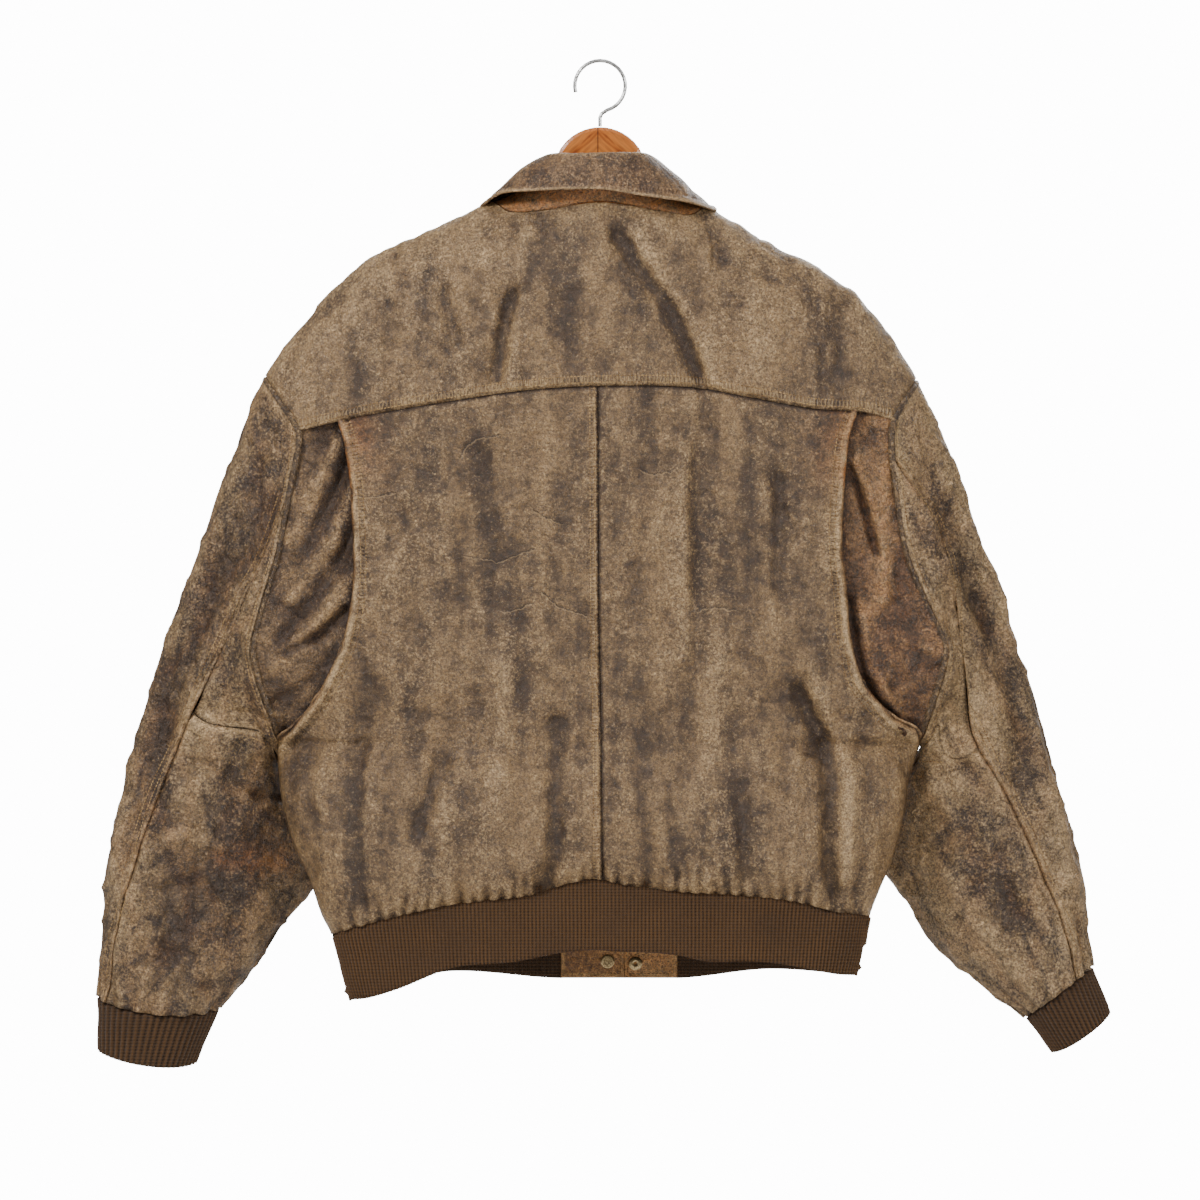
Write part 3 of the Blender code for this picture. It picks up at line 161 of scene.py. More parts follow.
def bump(tree, height, distance, under=None):
    inputs = {"Height": height, "Distance": distance}
    if under is not None:
        inputs["Normal"] = under
    return add_node(tree, "ShaderNodeBump", inputs=inputs).outputs["Normal"]


def carried(tree, name):
    """A value that the piece carries on its vertices."""
    return add_node(tree, "ShaderNodeAttribute", {"attribute_name": name}).outputs["Fac"]


# %% [markdown]
# Old flight-jacket leather is dark where it is whole and light where it is rubbed. Its surface coat is crazed into
# small plates, and wear takes the coat off the tops of the grain first. So the colour goes from deep brown to mid
# brown in blotches, then to tan in specks where the piece's own wear value is high, which also carries a painted
# highlight on raised places and seam edges, and to orange where the bare hide shows. Hollows and seam grooves are
# painted darker as painted shade. The cracks that a viewer can point at are drawn from the distance to their line, in
# millimetres.


# %% Leather
def leather(name, deep, middle, rubbed, bare, speckle):
    material, tree, shader = new_material(name, {"Roughness": 0.5, "Specular IOR Level": 0.55})
    where = add_node(tree, "ShaderNodeTexCoord").outputs["Object"]
    wear, dirt, rust = carried(tree, "wear"), carried(tree, "dirt"), carried(tree, "rust")
    crack, pucker = carried(tree, "crack"), carried(tree, "pucker")
    hanging = add_node(tree, "ShaderNodeVectorMath", {"operation": "MULTIPLY"}, {0: where, 1: (2.0, 2.0, 0.45)})
    cloud = noise(tree, hanging.outputs["Vector"], 14, 4, 0.6)
    blotch = noise(tree, where, 70, 6, 0.68, 0.4)
    speck = noise(tree, where, 420, 5, 0.72)
    # blotches of deep and mid brown, 15 mm to 35 mm wide, which run down with the folds
    tone = reckoned(tree, "ADD", reckoned(tree, "MULTIPLY", cloud, 0.55), reckoned(tree, "MULTIPLY", blotch, 0.55))
    # raised places and seam edges lighter, as rubbing and painted highlight; hollows, folds and seam grooves darker,
    # as painted shade
    tone = reckoned(tree, "ADD", tone, reckoned(tree, "MULTIPLY", wear, 0.22))
    tone = reckoned(tree, "SUBTRACT", tone, reckoned(tree, "MULTIPLY", dirt, 0.30))
    tint = mixed(tree, scaled(tree, tone, 0.40, 0.70), colour(deep), colour(middle))
    # specks where the coat is rubbed off the tops of the grain, 2 mm wide
    rub = reckoned(tree, "ADD", speck, reckoned(tree, "MULTIPLY", wear, 0.34))
    rub = reckoned(tree, "ADD", rub, reckoned(tree, "MULTIPLY", blotch, 0.25))
    tint = mixed(tree, scaled(tree, rub, 0.66, 0.90, 0.0, speckle), tint, colour(rubbed))
    hide = reckoned(tree, "MULTIPLY", rust, scaled(tree, reckoned(tree, "ADD", speck, blotch), 0.80, 1.15))
    tint = mixed(tree, hide, tint, colour(bare))
    # the grain itself, in light and dark specks of 1.5 mm and 4 mm
    coarse = reckoned(tree, "MULTIPLY", noise(tree, where, 260, 3, 0.6), 0.8)
    grit = reckoned(tree, "ADD", noise(tree, where, 700, 2, 0.6), coarse)
    tint = mixed(tree, 1.0, tint, scaled(tree, grit, 0.62, 1.18, 0.52, 1.50), "MULTIPLY")
    # fine crazing, in plates of 7 mm and of 2.5 mm
    sway = add_node(tree, "ShaderNodeTexNoise", inputs={"Vector": where, "Scale": 160.0}).outputs["Color"]
    bent = mixed(tree, 0.012, where, sway)
    to_edge = {"feature": "DISTANCE_TO_EDGE"}
    cells = [add_node(tree, "ShaderNodeTexVoronoi", to_edge, {"Vector": bent, "Scale": scale}) for scale in (150.0, 420.0)]
    plates, small = [cell.outputs["Distance"] for cell in cells]
    crazed = scaled(tree, plates, 0.0, 0.07, 1.0, 0.0)
    crazed = reckoned(tree, "MULTIPLY", crazed, scaled(tree, blotch, 0.45, 0.62))
    finely = reckoned(tree, "MULTIPLY", scaled(tree, small, 0.0, 0.10, 1.0, 0.0), 0.55)
    lines = reckoned(tree, "MAXIMUM", crazed, finely)
    tint = mixed(tree, reckoned(tree, "MULTIPLY", lines, 0.50), tint, colour("#150d07"))
    # the cracks with a known line: dark, with a light lower lip
    ragged = noise(tree, where, 170, 3, 0.6)
    crack = reckoned(tree, "ADD", crack, scaled(tree, ragged, 0.25, 0.75, -1.3, 1.3))
    away = reckoned(tree, "ABSOLUTE", crack)
    split = scaled(tree, away, 0.1, 0.85, 1.0, 0.0)
    lip = reckoned(tree, "MULTIPLY", scaled(tree, crack, 0.6, 1.1), scaled(tree, crack, 1.4, 2.2, 1.0, 0.0))
    tint = mixed(tree, reckoned(tree, "MULTIPLY", lip, 0.40), tint, colour(rubbed))
    tint = mixed(tree, reckoned(tree, "MULTIPLY", split, 0.55), tint, colour("#1d130b"))
    # short gathers beside a seam, 3.4 mm apart along it, their crests painted lighter as rubbing and painted
    # highlight
    steps = reckoned(tree, "MULTIPLY", carried(tree, "along"), math.tau / 0.0034)
    steps = reckoned(tree, "ADD", steps, reckoned(tree, "MULTIPLY", ragged, 7.0))
    gather = scaled(tree, reckoned(tree, "SINE", steps), -0.6, 1.0)
    gather = reckoned(tree, "MULTIPLY", gather, pucker)
    tint = mixed(tree, reckoned(tree, "MULTIPLY", scaled(tree, gather, 0.45, 1.0), 0.55), tint, colour(rubbed))
    # painted shade: hollows, fold lines and seam grooves darkened, over a plainly darker tone on some pieces
    tint = mixed(tree, reckoned(tree, "MULTIPLY", dirt, 0.45), tint, colour("#24180e"))
    tree.links.new(tint, shader.inputs["Base Color"])
    dull = reckoned(tree, "ADD", speck, reckoned(tree, "MULTIPLY", dirt, 0.3))
    tree.links.new(scaled(tree, dull, 0.3, 0.9, 0.30, 0.52), shader.inputs["Roughness"])
    # bumps, from the finest grain to folds of 10 mm
    grain = add_node(tree, "ShaderNodeTexVoronoi", {}, {"Vector": where, "Scale": 800.0}).outputs["Distance"]
    bent_line = reckoned(tree, "ABSOLUTE", reckoned(tree, "SUBTRACT", noise(tree, where, 62, 5, 0.6, 0.5), 0.5))
    bent_line = reckoned(tree, "MULTIPLY", scaled(tree, bent_line, 0.0, 0.075, 1.0, 0.0), carried(tree, "crumple"))
    surface = bump(tree, grain, 0.00045)
    surface = bump(tree, bent_line, 0.0016, surface)
    surface = bump(tree, grit, 0.00085, surface)
    surface = bump(tree, noise(tree, where, 95, 5, 0.62, 0.8), 0.0024, surface)
    surface = bump(tree, reckoned(tree, "MULTIPLY", lines, -1.0), 0.00035, surface)
    surface = bump(tree, reckoned(tree, "SUBTRACT", gather, reckoned(tree, "MULTIPLY", split, 0.6)), 0.0012, surface)
    tree.links.new(surface, shader.inputs["Normal"])
    return material


# the jacket's own leather, and the redder, less worn leather of the waistband's tabs
jacket_leather = leather("worn_brown_leather_coat", "#3f2c1a", "#866945", "#bb9c72", "#a8652b", 0.85)
tab_leather = leather("tan_tab_leather_coat", "#5a3d25", "#93693f", "#c49a68", "#b8793c", 0.8)
print("leathers:", jacket_leather.name, tab_leather.name)

# %% [markdown]
# The cuffs and the waistband are a wool rib. The ribs are real folds in the mesh, so the material only needs the
# loops of the yarn, about 1.5 mm each, painted shade between the ribs and at the top where the knit runs under the
# leather, and a soft edge, which sheen gives.


# %% Knit, zip, brass, wood, steel and thread
def rib_knit():
    finish = {"Roughness": 0.92, "Sheen Weight": 0.12, "Specular IOR Level": 0.2}
    material, tree, shader = new_material("olive_brown_rib_knit_wool", finish)
    where = add_node(tree, "ShaderNodeTexCoord").outputs["Object"]
    rib, wear = carried(tree, "rib"), carried(tree, "wear")
    yarn = {"Vector": where, "Scale": 105.0, "Distortion": 2.0, "Detail": 2.0, "Detail Scale": 60.0}
    loops = add_node(tree, "ShaderNodeTexWave", {"bands_direction": "Z"}, yarn).outputs["Fac"]
    fibre = noise(tree, where, 900, 4, 0.7)
    patch_tone = noise(tree, where, 30, 4, 0.6)
    # painted shade: dark in the valleys between the ribs, light on their crests
    tint = mixed(tree, rib, colour("#291808"), colour("#6b4a28"))
    tint = mixed(tree, scaled(tree, patch_tone, 0.35, 0.7, 0.0, 0.5), tint, colour("#4a3420"))
    lit = scaled(tree, reckoned(tree, "MULTIPLY", loops, fibre), 0.1, 0.6, 0.0, 0.35)
    tint = mixed(tree, lit, tint, colour("#80603c"))
    # darker with the knit's wear value: soil, and painted shade at the top where the knit runs under the leather
    tint = mixed(tree, reckoned(tree, "MULTIPLY", wear, 0.5), tint, colour("#20130a"))
    tree.links.new(tint, shader.inputs["Base Color"])
    surface = bump(tree, loops, 0.0006)
    surface = bump(tree, fibre, 0.0005, surface)
    tree.links.new(surface, shader.inputs["Normal"])
    return material


def woven_tape():
    material, tree, shader = new_material("zip_tape_cotton", {"Roughness": 0.85, "Specular IOR Level": 0.2})
    where = add_node(tree, "ShaderNodeTexCoord").outputs["Object"]
    weave = {"Vector": where, "Scale": 260.0, "Distortion": 0.5}
    threads = add_node(tree, "ShaderNodeTexWave", {"bands_direction": "Z"}, weave).outputs["Fac"]
    tint = mixed(tree, threads, colour("#1c140f"), colour("#3d3026"))
    tree.links.new(tint, shader.inputs["Base Color"])
    tree.links.new(bump(tree, threads, 0.0002), shader.inputs["Normal"])
    return material


def aged_metal(name, bright, dull, per_metre):
    """Metal that has dulled in spots."""
    material, tree, shader = new_material(name, {"Metallic": 1.0, "Roughness": 0.35})
    where = add_node(tree, "ShaderNodeTexCoord").outputs["Object"]
    spots = noise(tree, where, per_metre, 5, 0.65)
    tint = mixed(tree, scaled(tree, spots, 0.35, 0.65), colour(dull), colour(bright))
    tree.links.new(tint, shader.inputs["Base Color"])
    tree.links.new(scaled(tree, spots, 0.3, 0.7, 0.48, 0.26), shader.inputs["Roughness"])
    tree.links.new(bump(tree, spots, 0.0001), shader.inputs["Normal"])
    return material


def varnished_wood():
    """Orange-brown wood. The grain of the two halves meets at the crown's middle in a chevron."""
    finish = {"Roughness": 0.3, "Coat Weight": 0.35, "Coat Roughness": 0.12}
    material, tree, shader = new_material("varnished_wood_grain", finish)
    where = add_node(tree, "ShaderNodeTexCoord").outputs["Object"]
    parts = add_node(tree, "ShaderNodeSeparateXYZ", inputs={0: where}).outputs
    aside = reckoned(tree, "ABSOLUTE", reckoned(tree, "ADD", parts[0], 0.002))
    slanted = reckoned(tree, "ADD", parts[2], reckoned(tree, "MULTIPLY", aside, 0.9))
    along = reckoned(tree, "SUBTRACT", aside, reckoned(tree, "MULTIPLY", parts[2], 0.9))
    along = reckoned(tree, "MULTIPLY", along, 0.12)
    grain_place = add_node(tree, "ShaderNodeCombineXYZ", inputs={0: along, 1: parts[1], 2: slanted}).outputs[0]
    grain = noise(tree, grain_place, 320, 5, 0.6)
    broad = noise(tree, grain_place, 60, 3, 0.5)
    tint = mixed(tree, scaled(tree, grain, 0.3, 0.7), colour("#7c390c"), colour("#bf6b26"))
    tint = mixed(tree, scaled(tree, broad, 0.35, 0.7, 0.0, 0.55), tint, colour("#d98c42"))
    joint = scaled(tree, aside, 0.0002, 0.0009, 0.8, 0.0)
    tint = mixed(tree, joint, tint, colour("#3a1a08"))
    tree.links.new(tint, shader.inputs["Base Color"])
    tree.links.new(bump(tree, grain, 0.0001), shader.inputs["Normal"])
    return material


def sewing_thread():
    material, tree, shader = new_material("brown_sewing_thread", {"Roughness": 0.75, "Specular IOR Level": 0.25})
    where = add_node(tree, "ShaderNodeTexCoord").outputs["Object"]
    tint = mixed(tree, scaled(tree, noise(tree, where, 60, 3), 0.35, 0.65), colour("#6e5335"), colour("#b8976a"))
    tree.links.new(tint, shader.inputs["Base Color"])
    return material


knit, tape, thread, wood = rib_knit(), woven_tape(), sewing_thread(), varnished_wood()
brass = aged_metal("aged_brass_dull", "#c9b288", "#7d6a4c", 700)
steel = aged_metal("hook_steel_plate", "#b9b9b8", "#7f7d7a", 300)
kept = {"hanger_wood": wood, "hanger_hook": steel, "zip_tape_left": tape, "zip_tape_right": tape, "zip_slider": brass,
        "zip_pull_tab": brass, "snap_socket": brass, "snap_cap": brass, "snap_eyelet": brass, "snap_stud": brass}
for node_name, material in kept.items():
    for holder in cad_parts[node_name].material_slots:
        holder.link = "OBJECT"
        holder.material = material
print("kept nodes with a new finish:", len(kept))

# %% [markdown]
# ## Smooth lines and sheets
# The jacket's outline is a list of points along each seam. A smooth line runs through them, a path does the same
# in space, a patch is stretched between four edges, and a skin runs through several curves. Each one takes whole
# arrays of places, so that a sheet of fifteen thousand points is laid out in one go.


# %% Lines
def slopes(at, to):
    """The slope at each of a row of points, from its two neighbours."""
    low, high = np.maximum(np.arange(len(at)) - 1, 0), np.minimum(np.arange(len(at)) + 1, len(at) - 1)
    return (to[high] - to[low]) / (at[high] - at[low]).reshape(-1, *[1] * (to.ndim - 1))


def blend(t, width, start, end, rise0, rise1):
    """A cubic from start to end with the given slopes."""
    ends = start * (2 * t**3 - 3 * t**2 + 1) + end * (3 * t**2 - 2 * t**3)
    return ends + width * (rise0 * (t**3 - 2 * t**2 + t) + rise1 * (t**3 - t**2))


def smooth_line(points):
    """A function b(a) that runs smoothly through points (a, b), in rising order of a."""
    at, to = np.array(points, float).T
    rise = slopes(at, to)

    def value(a):
        a = np.clip(a, at[0], at[-1])
        low = np.clip(np.searchsorted(at, a, side="right") - 1, 0, len(at) - 2)
        width = at[low + 1] - at[low]
        return blend((a - at[low]) / width, width, to[low], to[low + 1], rise[low], rise[low + 1])

    return value


def timed_path(points):
    """A curve through points (t, x, y, ...), each reached at its own t."""
    tracks = [smooth_line([(point[0], point[axis]) for point in points]) for axis in range(1, len(points[0]))]
    return lambda t: np.stack([track(t) for track in tracks], -1)


def smooth_path(points):
    """A curve p(t), t from 0 to 1, at an even pace through the points."""
    points = np.array(points, float)
    lengths = np.concatenate([[0], np.cumsum(np.linalg.norm(np.diff(points, axis=0), axis=1))])
    return timed_path([(length / lengths[-1], *point) for length, point in zip(lengths, points)])


def corner_path(parts, shares):
    """Smooth paths joined at sharp corners, each taking its own share of t."""
    paths = [smooth_path(points) for points in parts]
    ends, shares = np.cumsum(shares), np.array(shares)

    def point(t):
        which = np.clip(np.searchsorted(ends, t - 1e-9), 0, len(paths) - 1)
        local = (t - (ends[which] - shares[which])) / shares[which]
        return np.stack([path(local) for path in paths])[which, np.arange(len(t))]

    return point


# %% Sheets
def skin(curves, at):
    """A sheet p(u, v) through curves p(u), each reached at its own v."""
    at = np.array(at, float)

    def point(u, v):
        through = np.stack([curve(u) for curve in curves])
        rise = slopes(at, through)
        low = np.clip(np.searchsorted(at, v, side="right") - 1, 0, len(at) - 2)
        width = (at[low + 1] - at[low])[:, None]
        every = np.arange(len(u))
        t = (v - at[low])[:, None] / width
        return blend(t, width, through[low, every], through[low + 1, every], rise[low, every], rise[low + 1, every])

    return point


def patch(left, right, bottom, top):
    """A sheet stretched between four edges. left and right take v, bottom and top take u."""

    def point(u, v):
        zero, one = np.zeros_like(u), np.ones_like(u)
        across, upward = u[:, None], v[:, None]
        sheet = left(v) * (1 - across) + right(v) * across + bottom(u) * (1 - upward) + top(u) * upward
        low = left(zero) * (1 - across) + right(zero) * across
        high = left(one) * (1 - across) + right(one) * across
        return sheet - low * (1 - upward) - high * upward

    return point


def smooth_step(t):
    t = np.clip(t, 0, 1)
    return t * t * (3 - 2 * t)


def px(*points):
    """Points measured on the photograph, in its pixels, as (x, z) in metres."""
    return [((x - 600) * PIXEL, -0.060 - (y - 127) * PIXEL) for x, y in points]


def beside(x, z, points):
    """How far along a line each place lies, and how far off it: above zero on its right, seen from the back."""
    best, along, side = np.full_like(x, 9.0), np.zeros_like(x), np.ones_like(x)
    start = 0.0
    for (x0, z0), (x1, z1) in zip(points, points[1:]):
        length = math.hypot(x1 - x0, z1 - z0)
        dx, dz = (x1 - x0) / length, (z1 - z0) / length
        run = np.clip((x - x0) * dx + (z - z0) * dz, 0, length)
        off_x, off_z = x - x0 - run * dx, z - z0 - run * dz
        away = np.hypot(off_x, off_z)
        nearer = away < best
        best, along = np.where(nearer, away, best), np.where(nearer, start + run, along)
        side = np.where(nearer, np.sign(off_x * dz - off_z * dx), side)
        start += length
    return along, best * side


def ridge(away, middle, half_width):
    """A soft ridge of height 1 at a distance from a line."""
    return np.exp(-(((away - middle) / half_width) ** 2))


# %% [markdown]
# Leather never lies flat: it has soft hills everywhere, and sharper creases where it has been bent often. The
# hills are smooth random numbers on a grid of cells, stretched along the way the leather runs. A crease lies
# wherever the hills pass through zero, which draws long wandering lines.


# %% Hills and creases
def chance(corner, seed):
    """A repeatable random number from -1 to 1 for each corner of a grid."""
    stirred = np.sin(corner @ np.array([127.1, 311.7, 74.7]) + seed * 53.3) * 43758.5453
    return 2 * (stirred - np.floor(stirred)) - 1


def hills(spot, size, seed, lean=0.0):
    """Smooth hills from about -1 to 1 of a size along X, Y and Z, turned by lean degrees as seen from the back."""
    turn = math.radians(lean)
    x = spot[:, 0] * math.cos(turn) + spot[:, 2] * math.sin(turn)
    z = spot[:, 2] * math.cos(turn) - spot[:, 0] * math.sin(turn)
    at = np.stack([x, spot[:, 1], z], -1) / np.array(size, float)
    low = np.floor(at)
    away = at - low
    share = away**3 * (away * (away * 6 - 15) + 10)
    total = np.zeros(len(spot))
    for corner in np.ndindex(2, 2, 2):
        corner = np.array(corner)
        weight = np.prod(np.where(corner, share, 1 - share), axis=1)
        slope = np.stack([chance(low + corner, seed + axis * 7) for axis in range(3)], -1)
        total += weight * ((away - corner) * slope).sum(1)
    return total * 1.7


def creases(spot, size, seed, lean=0.0, width=0.14):
    """1 on the creases and 0 away from them."""
    return np.exp(-((hills(spot, size, seed, lean) / width) ** 2))


# %% [markdown]
# ## The jacket's outline
# The same seam lines as in the solid model, seen from the back. The body's surface stands out from the side line
# by a depth that grows from the edges inward and fades out over the shoulders, where the hanger carries it.

# %% Seam lines
SEAM = 0.0003
UNDERARM_Z = -0.632
SHOULDER_SEAM = 0.030
RIDGE_RADIUS = 0.015
BACK, FRONT = -1, 1

RIDGE = [(-0.335, -0.345), (-0.312, -0.292), (-0.292, -0.263), (-0.263, -0.226), (-0.222, -0.188),
         (-0.190, -0.170), (-0.147, -0.151), (-0.113, -0.136), (-0.056, -0.110), (0.0, -0.095),
         (0.056, -0.110), (0.109, -0.140), (0.163, -0.170), (0.197, -0.188), (0.227, -0.207),
         (0.247, -0.226), (0.276, -0.263), (0.295, -0.295), (0.318, -0.349)]
YOKE_SEAM = [(-0.312, -0.349), (-0.278, -0.342), (-0.221, -0.329), (-0.145, -0.316), (-0.069, -0.305),
             (0.0, -0.301), (0.085, -0.302), (0.132, -0.310), (0.199, -0.322), (0.242, -0.325),
             (0.272, -0.332), (0.307, -0.342)]
ARMHOLE = {
    "left": [(-0.312, -0.292), (-0.296, -0.316), (-0.281, -0.340), (-0.286, -0.379), (-0.294, -0.419),
             (-0.302, -0.459), (-0.316, -0.506), (-0.325, -0.545), (-0.322, -0.567), (-0.314, -0.592),
             (-0.306, -0.613), (-0.301, UNDERARM_Z)],
    "right": [(0.295, -0.295), (0.281, -0.316), (0.273, -0.334), (0.272, -0.357), (0.277, -0.398),
              (0.285, -0.449), (0.295, -0.478), (0.312, -0.515), (0.324, -0.542), (0.322, -0.565),
              (0.313, -0.593), (0.305, -0.616), (0.299, UNDERARM_Z)],
}
PANEL_EDGE = {
    "left": [(-0.301, UNDERARM_Z), (-0.288, -0.621), (-0.265, -0.593), (-0.242, -0.546), (-0.233, -0.509),
             (-0.230, -0.467), (-0.231, -0.435), (-0.233, -0.398), (-0.236, -0.374), (-0.240, -0.351),
             (-0.246, -0.334)],
    "right": [(0.299, UNDERARM_Z), (0.294, -0.621), (0.274, -0.611), (0.245, -0.577), (0.234, -0.537),
              (0.230, -0.494), (0.226, -0.453), (0.226, -0.430), (0.230, -0.374), (0.234, -0.346),
              (0.242, -0.325)],
}
SIDE_LINE = {
    "left": [(-0.301, UNDERARM_Z), (-0.299, -0.662), (-0.294, -0.698), (-0.283, -0.734), (-0.271, -0.758),
             (-0.259, -0.793), (-0.250, -0.811)],
    "right": [(0.299, UNDERARM_Z), (0.293, -0.648), (0.287, -0.671), (0.283, -0.700), (0.271, -0.744),
              (0.262, -0.765), (0.251, -0.794)],
}
BAND_END = {"left": (-0.233, -0.872), "right": (0.239, -0.849)}
CENTRE_LINE = [(0.002, -0.760), (0.001, -0.613), (-0.001, -0.518), (-0.002, -0.301)]
HEM_LINE = {
    BACK: [(-0.250, -0.811), (-0.186, -0.794), (-0.140, -0.784), (-0.065, -0.775), (-0.030, -0.764),
           (-0.005, -0.760), (0.027, -0.766), (0.077, -0.772), (0.130, -0.775), (0.183, -0.781),
           (0.219, -0.790), (0.251, -0.794)],
    FRONT: [(-0.250, -0.811), (-0.186, -0.802), (-0.100, -0.790), (-0.040, -0.7845), (0.075, -0.7845),
            (0.160, -0.788), (0.251, -0.794)],
}
BAND_BOTTOM = {
    BACK: [(-0.233, -0.872), (-0.215, -0.870), (-0.186, -0.861), (-0.137, -0.842), (-0.084, -0.837),
           (-0.020, -0.826), (0.020, -0.827), (0.070, -0.830), (0.099, -0.836), (0.144, -0.836),
           (0.183, -0.841), (0.219, -0.848), (0.239, -0.849)],
    FRONT: [(-0.233, -0.872), (-0.186, -0.856), (-0.137, -0.845), (-0.040, -0.8515), (0.075, -0.8515),
            (0.158, -0.843), (0.239, -0.849)],
}
TAB_X = {"left": (-0.0366, 0.0228), "right": (0.0218, 0.0725)}
BODY_DEPTH = {
    BACK: smooth_line([(-0.070, 0.045), (0.0, 0.050), (0.010, 0.056), (0.030, 0.064), (0.070, 0.070),
                       (0.160, 0.073), (0.350, 0.070), (0.470, 0.066), (0.660, 0.062)]),
    FRONT: smooth_line([(-0.070, 0.058), (0.0, 0.060), (0.010, 0.065), (0.030, 0.071), (0.070, 0.076),
                        (0.160, 0.080), (0.350, 0.080), (0.470, 0.078), (0.660, 0.076)]),
}
side_line_y = smooth_line([(-0.880, -0.016), (-0.730, -0.016), (-0.680, -0.010), (UNDERARM_Z, 0.004),
                           (-0.450, 0.003), (-0.290, 0.0)])
ridge_z, yoke_seam_z = smooth_line(RIDGE), smooth_line(YOKE_SEAM)
hem_z = {face: smooth_line(points) for face, points in HEM_LINE.items()}
band_bottom_z = {face: smooth_line(points) for face, points in BAND_BOTTOM.items()}
outer_x = {side: smooth_line(sorted((z, x) for x, z in ARMHOLE[side] + SIDE_LINE[side][1:] + [BAND_END[side]]))
           for side in ARMHOLE}

# %% [markdown]
# The main folds are the same as the solid model's, and the smaller ones are added here. A fold is a line on the
# cloth with a half width and a height: above zero it stands out, below zero it sinks in.

# %% The main folds, in metres
MAIN_FOLDS = {
    BACK: [
        ([(-0.082, -0.219), (-0.097, -0.290)], 0.012, -0.0070),
        ([(-0.146, -0.213), (-0.132, -0.264)], 0.011, -0.0045),
        ([(-0.197, -0.223), (-0.195, -0.261)], 0.012, -0.0035),
        ([(0.018, -0.160), (0.038, -0.194), (0.066, -0.230), (0.094, -0.297)], 0.014, -0.0070),
        ([(0.228, -0.222), (0.219, -0.291)], 0.012, -0.0040),
        ([(-0.030, -0.170), (-0.034, -0.260)], 0.012, -0.0030),
        ([(-0.105, -0.370), (-0.108, -0.500)], 0.020, -0.0050),
        ([(-0.042, -0.613), (-0.042, -0.737), (-0.053, -0.769)], 0.014, -0.0050),
        ([(-0.148, -0.651), (-0.173, -0.723)], 0.013, -0.0045),
        ([(0.094, -0.342), (0.100, -0.486)], 0.018, -0.0060),
        ([(0.078, -0.353), (0.079, -0.554)], 0.010, 0.0030),
        ([(0.166, -0.391), (0.166, -0.495)], 0.018, -0.0045),
        ([(0.185, -0.585), (0.205, -0.629), (0.216, -0.670), (0.217, -0.774)], 0.014, -0.0065),
        ([(0.131, -0.676), (0.135, -0.757)], 0.013, -0.0040),
        ([(-0.205, -0.480), (-0.190, -0.640)], 0.024, 0.0045),
        ([(0.040, -0.560), (0.045, -0.700)], 0.022, 0.0040),
        ([(-0.090, -0.560), (-0.095, -0.690)], 0.022, 0.0040),
    ],
    FRONT: [
        ([(-0.150, -0.230), (-0.135, -0.360)], 0.020, -0.0060),
        ([(0.150, -0.240), (0.140, -0.370)], 0.020, -0.0060),
        ([(-0.090, -0.420), (-0.100, -0.600)], 0.022, -0.0055),
        ([(0.105, -0.440), (0.110, -0.610)], 0.022, -0.0055),
        ([(-0.190, -0.520), (-0.185, -0.700)], 0.020, 0.0050),
        ([(0.190, -0.520), (0.185, -0.690)], 0.020, 0.0050),
        ([(-0.060, -0.640), (-0.066, -0.760)], 0.014, -0.0045),
        ([(0.085, -0.650), (0.090, -0.760)], 0.014, -0.0045),
    ],
}
# smaller ones, measured on the photograph
SMALL_FOLDS = [
    (px((512, 296), (500, 340), (496, 378)), 0.006, -0.0022),
    (px((524, 300), (512, 372)), 0.007, 0.0018),
    (px((443, 292), (459, 347)), 0.005, -0.0018),
    (px((388, 302), (390, 343)), 0.005, -0.0014),
    (px((545, 231), (543, 262)), 0.005, -0.0014),
    (px((571, 294), (569, 364)), 0.006, -0.0016),
    (px((619, 234), (641, 271), (671, 310), (701, 382)), 0.006, -0.0024),
    (px((634, 232), (660, 275), (690, 318), (716, 380)), 0.008, 0.0020),
    (px((845, 301), (836, 375)), 0.005, -0.0018),
    (px((832, 319), (819, 375)), 0.005, -0.0014),
    (px((760, 290), (752, 380)), 0.010, 0.0016),
    (px((479, 450), (494, 560)), 0.008, -0.0020),
    (px((555, 722), (557, 855), (543, 889)), 0.007, -0.0024),
    (px((441, 763), (414, 840)), 0.007, -0.0022),
    (px((684, 442), (686, 658)), 0.006, 0.0018),
    (px((779, 483), (778, 595)), 0.007, -0.0020),
    (px((799, 692), (821, 739), (832, 783), (827, 837), (833, 895)), 0.007, -0.0028),
    (px((815, 690), (838, 739), (849, 783), (845, 880)), 0.008, 0.0024),
    (px((741, 789), (745, 876)), 0.007, -0.0022),
    (px((409, 537), (365, 619)), 0.005, 0.0014),
    (px((405, 495), (420, 540)), 0.005, 0.0012),
    (px((640, 700), (648, 880)), 0.010, -0.0020),
    (px((510, 640), (498, 780)), 0.012, 0.0018),
    (px((370, 680), (352, 800), (360, 900)), 0.010, -0.0024),
    (px((720, 640), (712, 760)), 0.010, 0.0016),
]
# old cracks in the coat, each a dark line with a light lower lip
CRACKS = [
    px((466, 557), (487, 558), (498, 562), (511, 556), (533, 549)),
    px((461, 456), (467, 445), (478, 438), (498, 435)),
    px((544, 594), (556, 604), (570, 611), (585, 615)),
    px((504, 611), (515, 610), (530, 603)),
    px((360, 496), (372, 497), (393, 492)),
    px((533, 509), (544, 517), (559, 522)),
    px((640, 470), (652, 474), (668, 472)),
    px((700, 610), (716, 606), (734, 610)),
]


def fold_height(x, z, folds):
    height = np.zeros_like(x)
    for points, width, depth in folds:
        height += depth * ridge(beside(x, z, points)[1], 0, width)
    return height


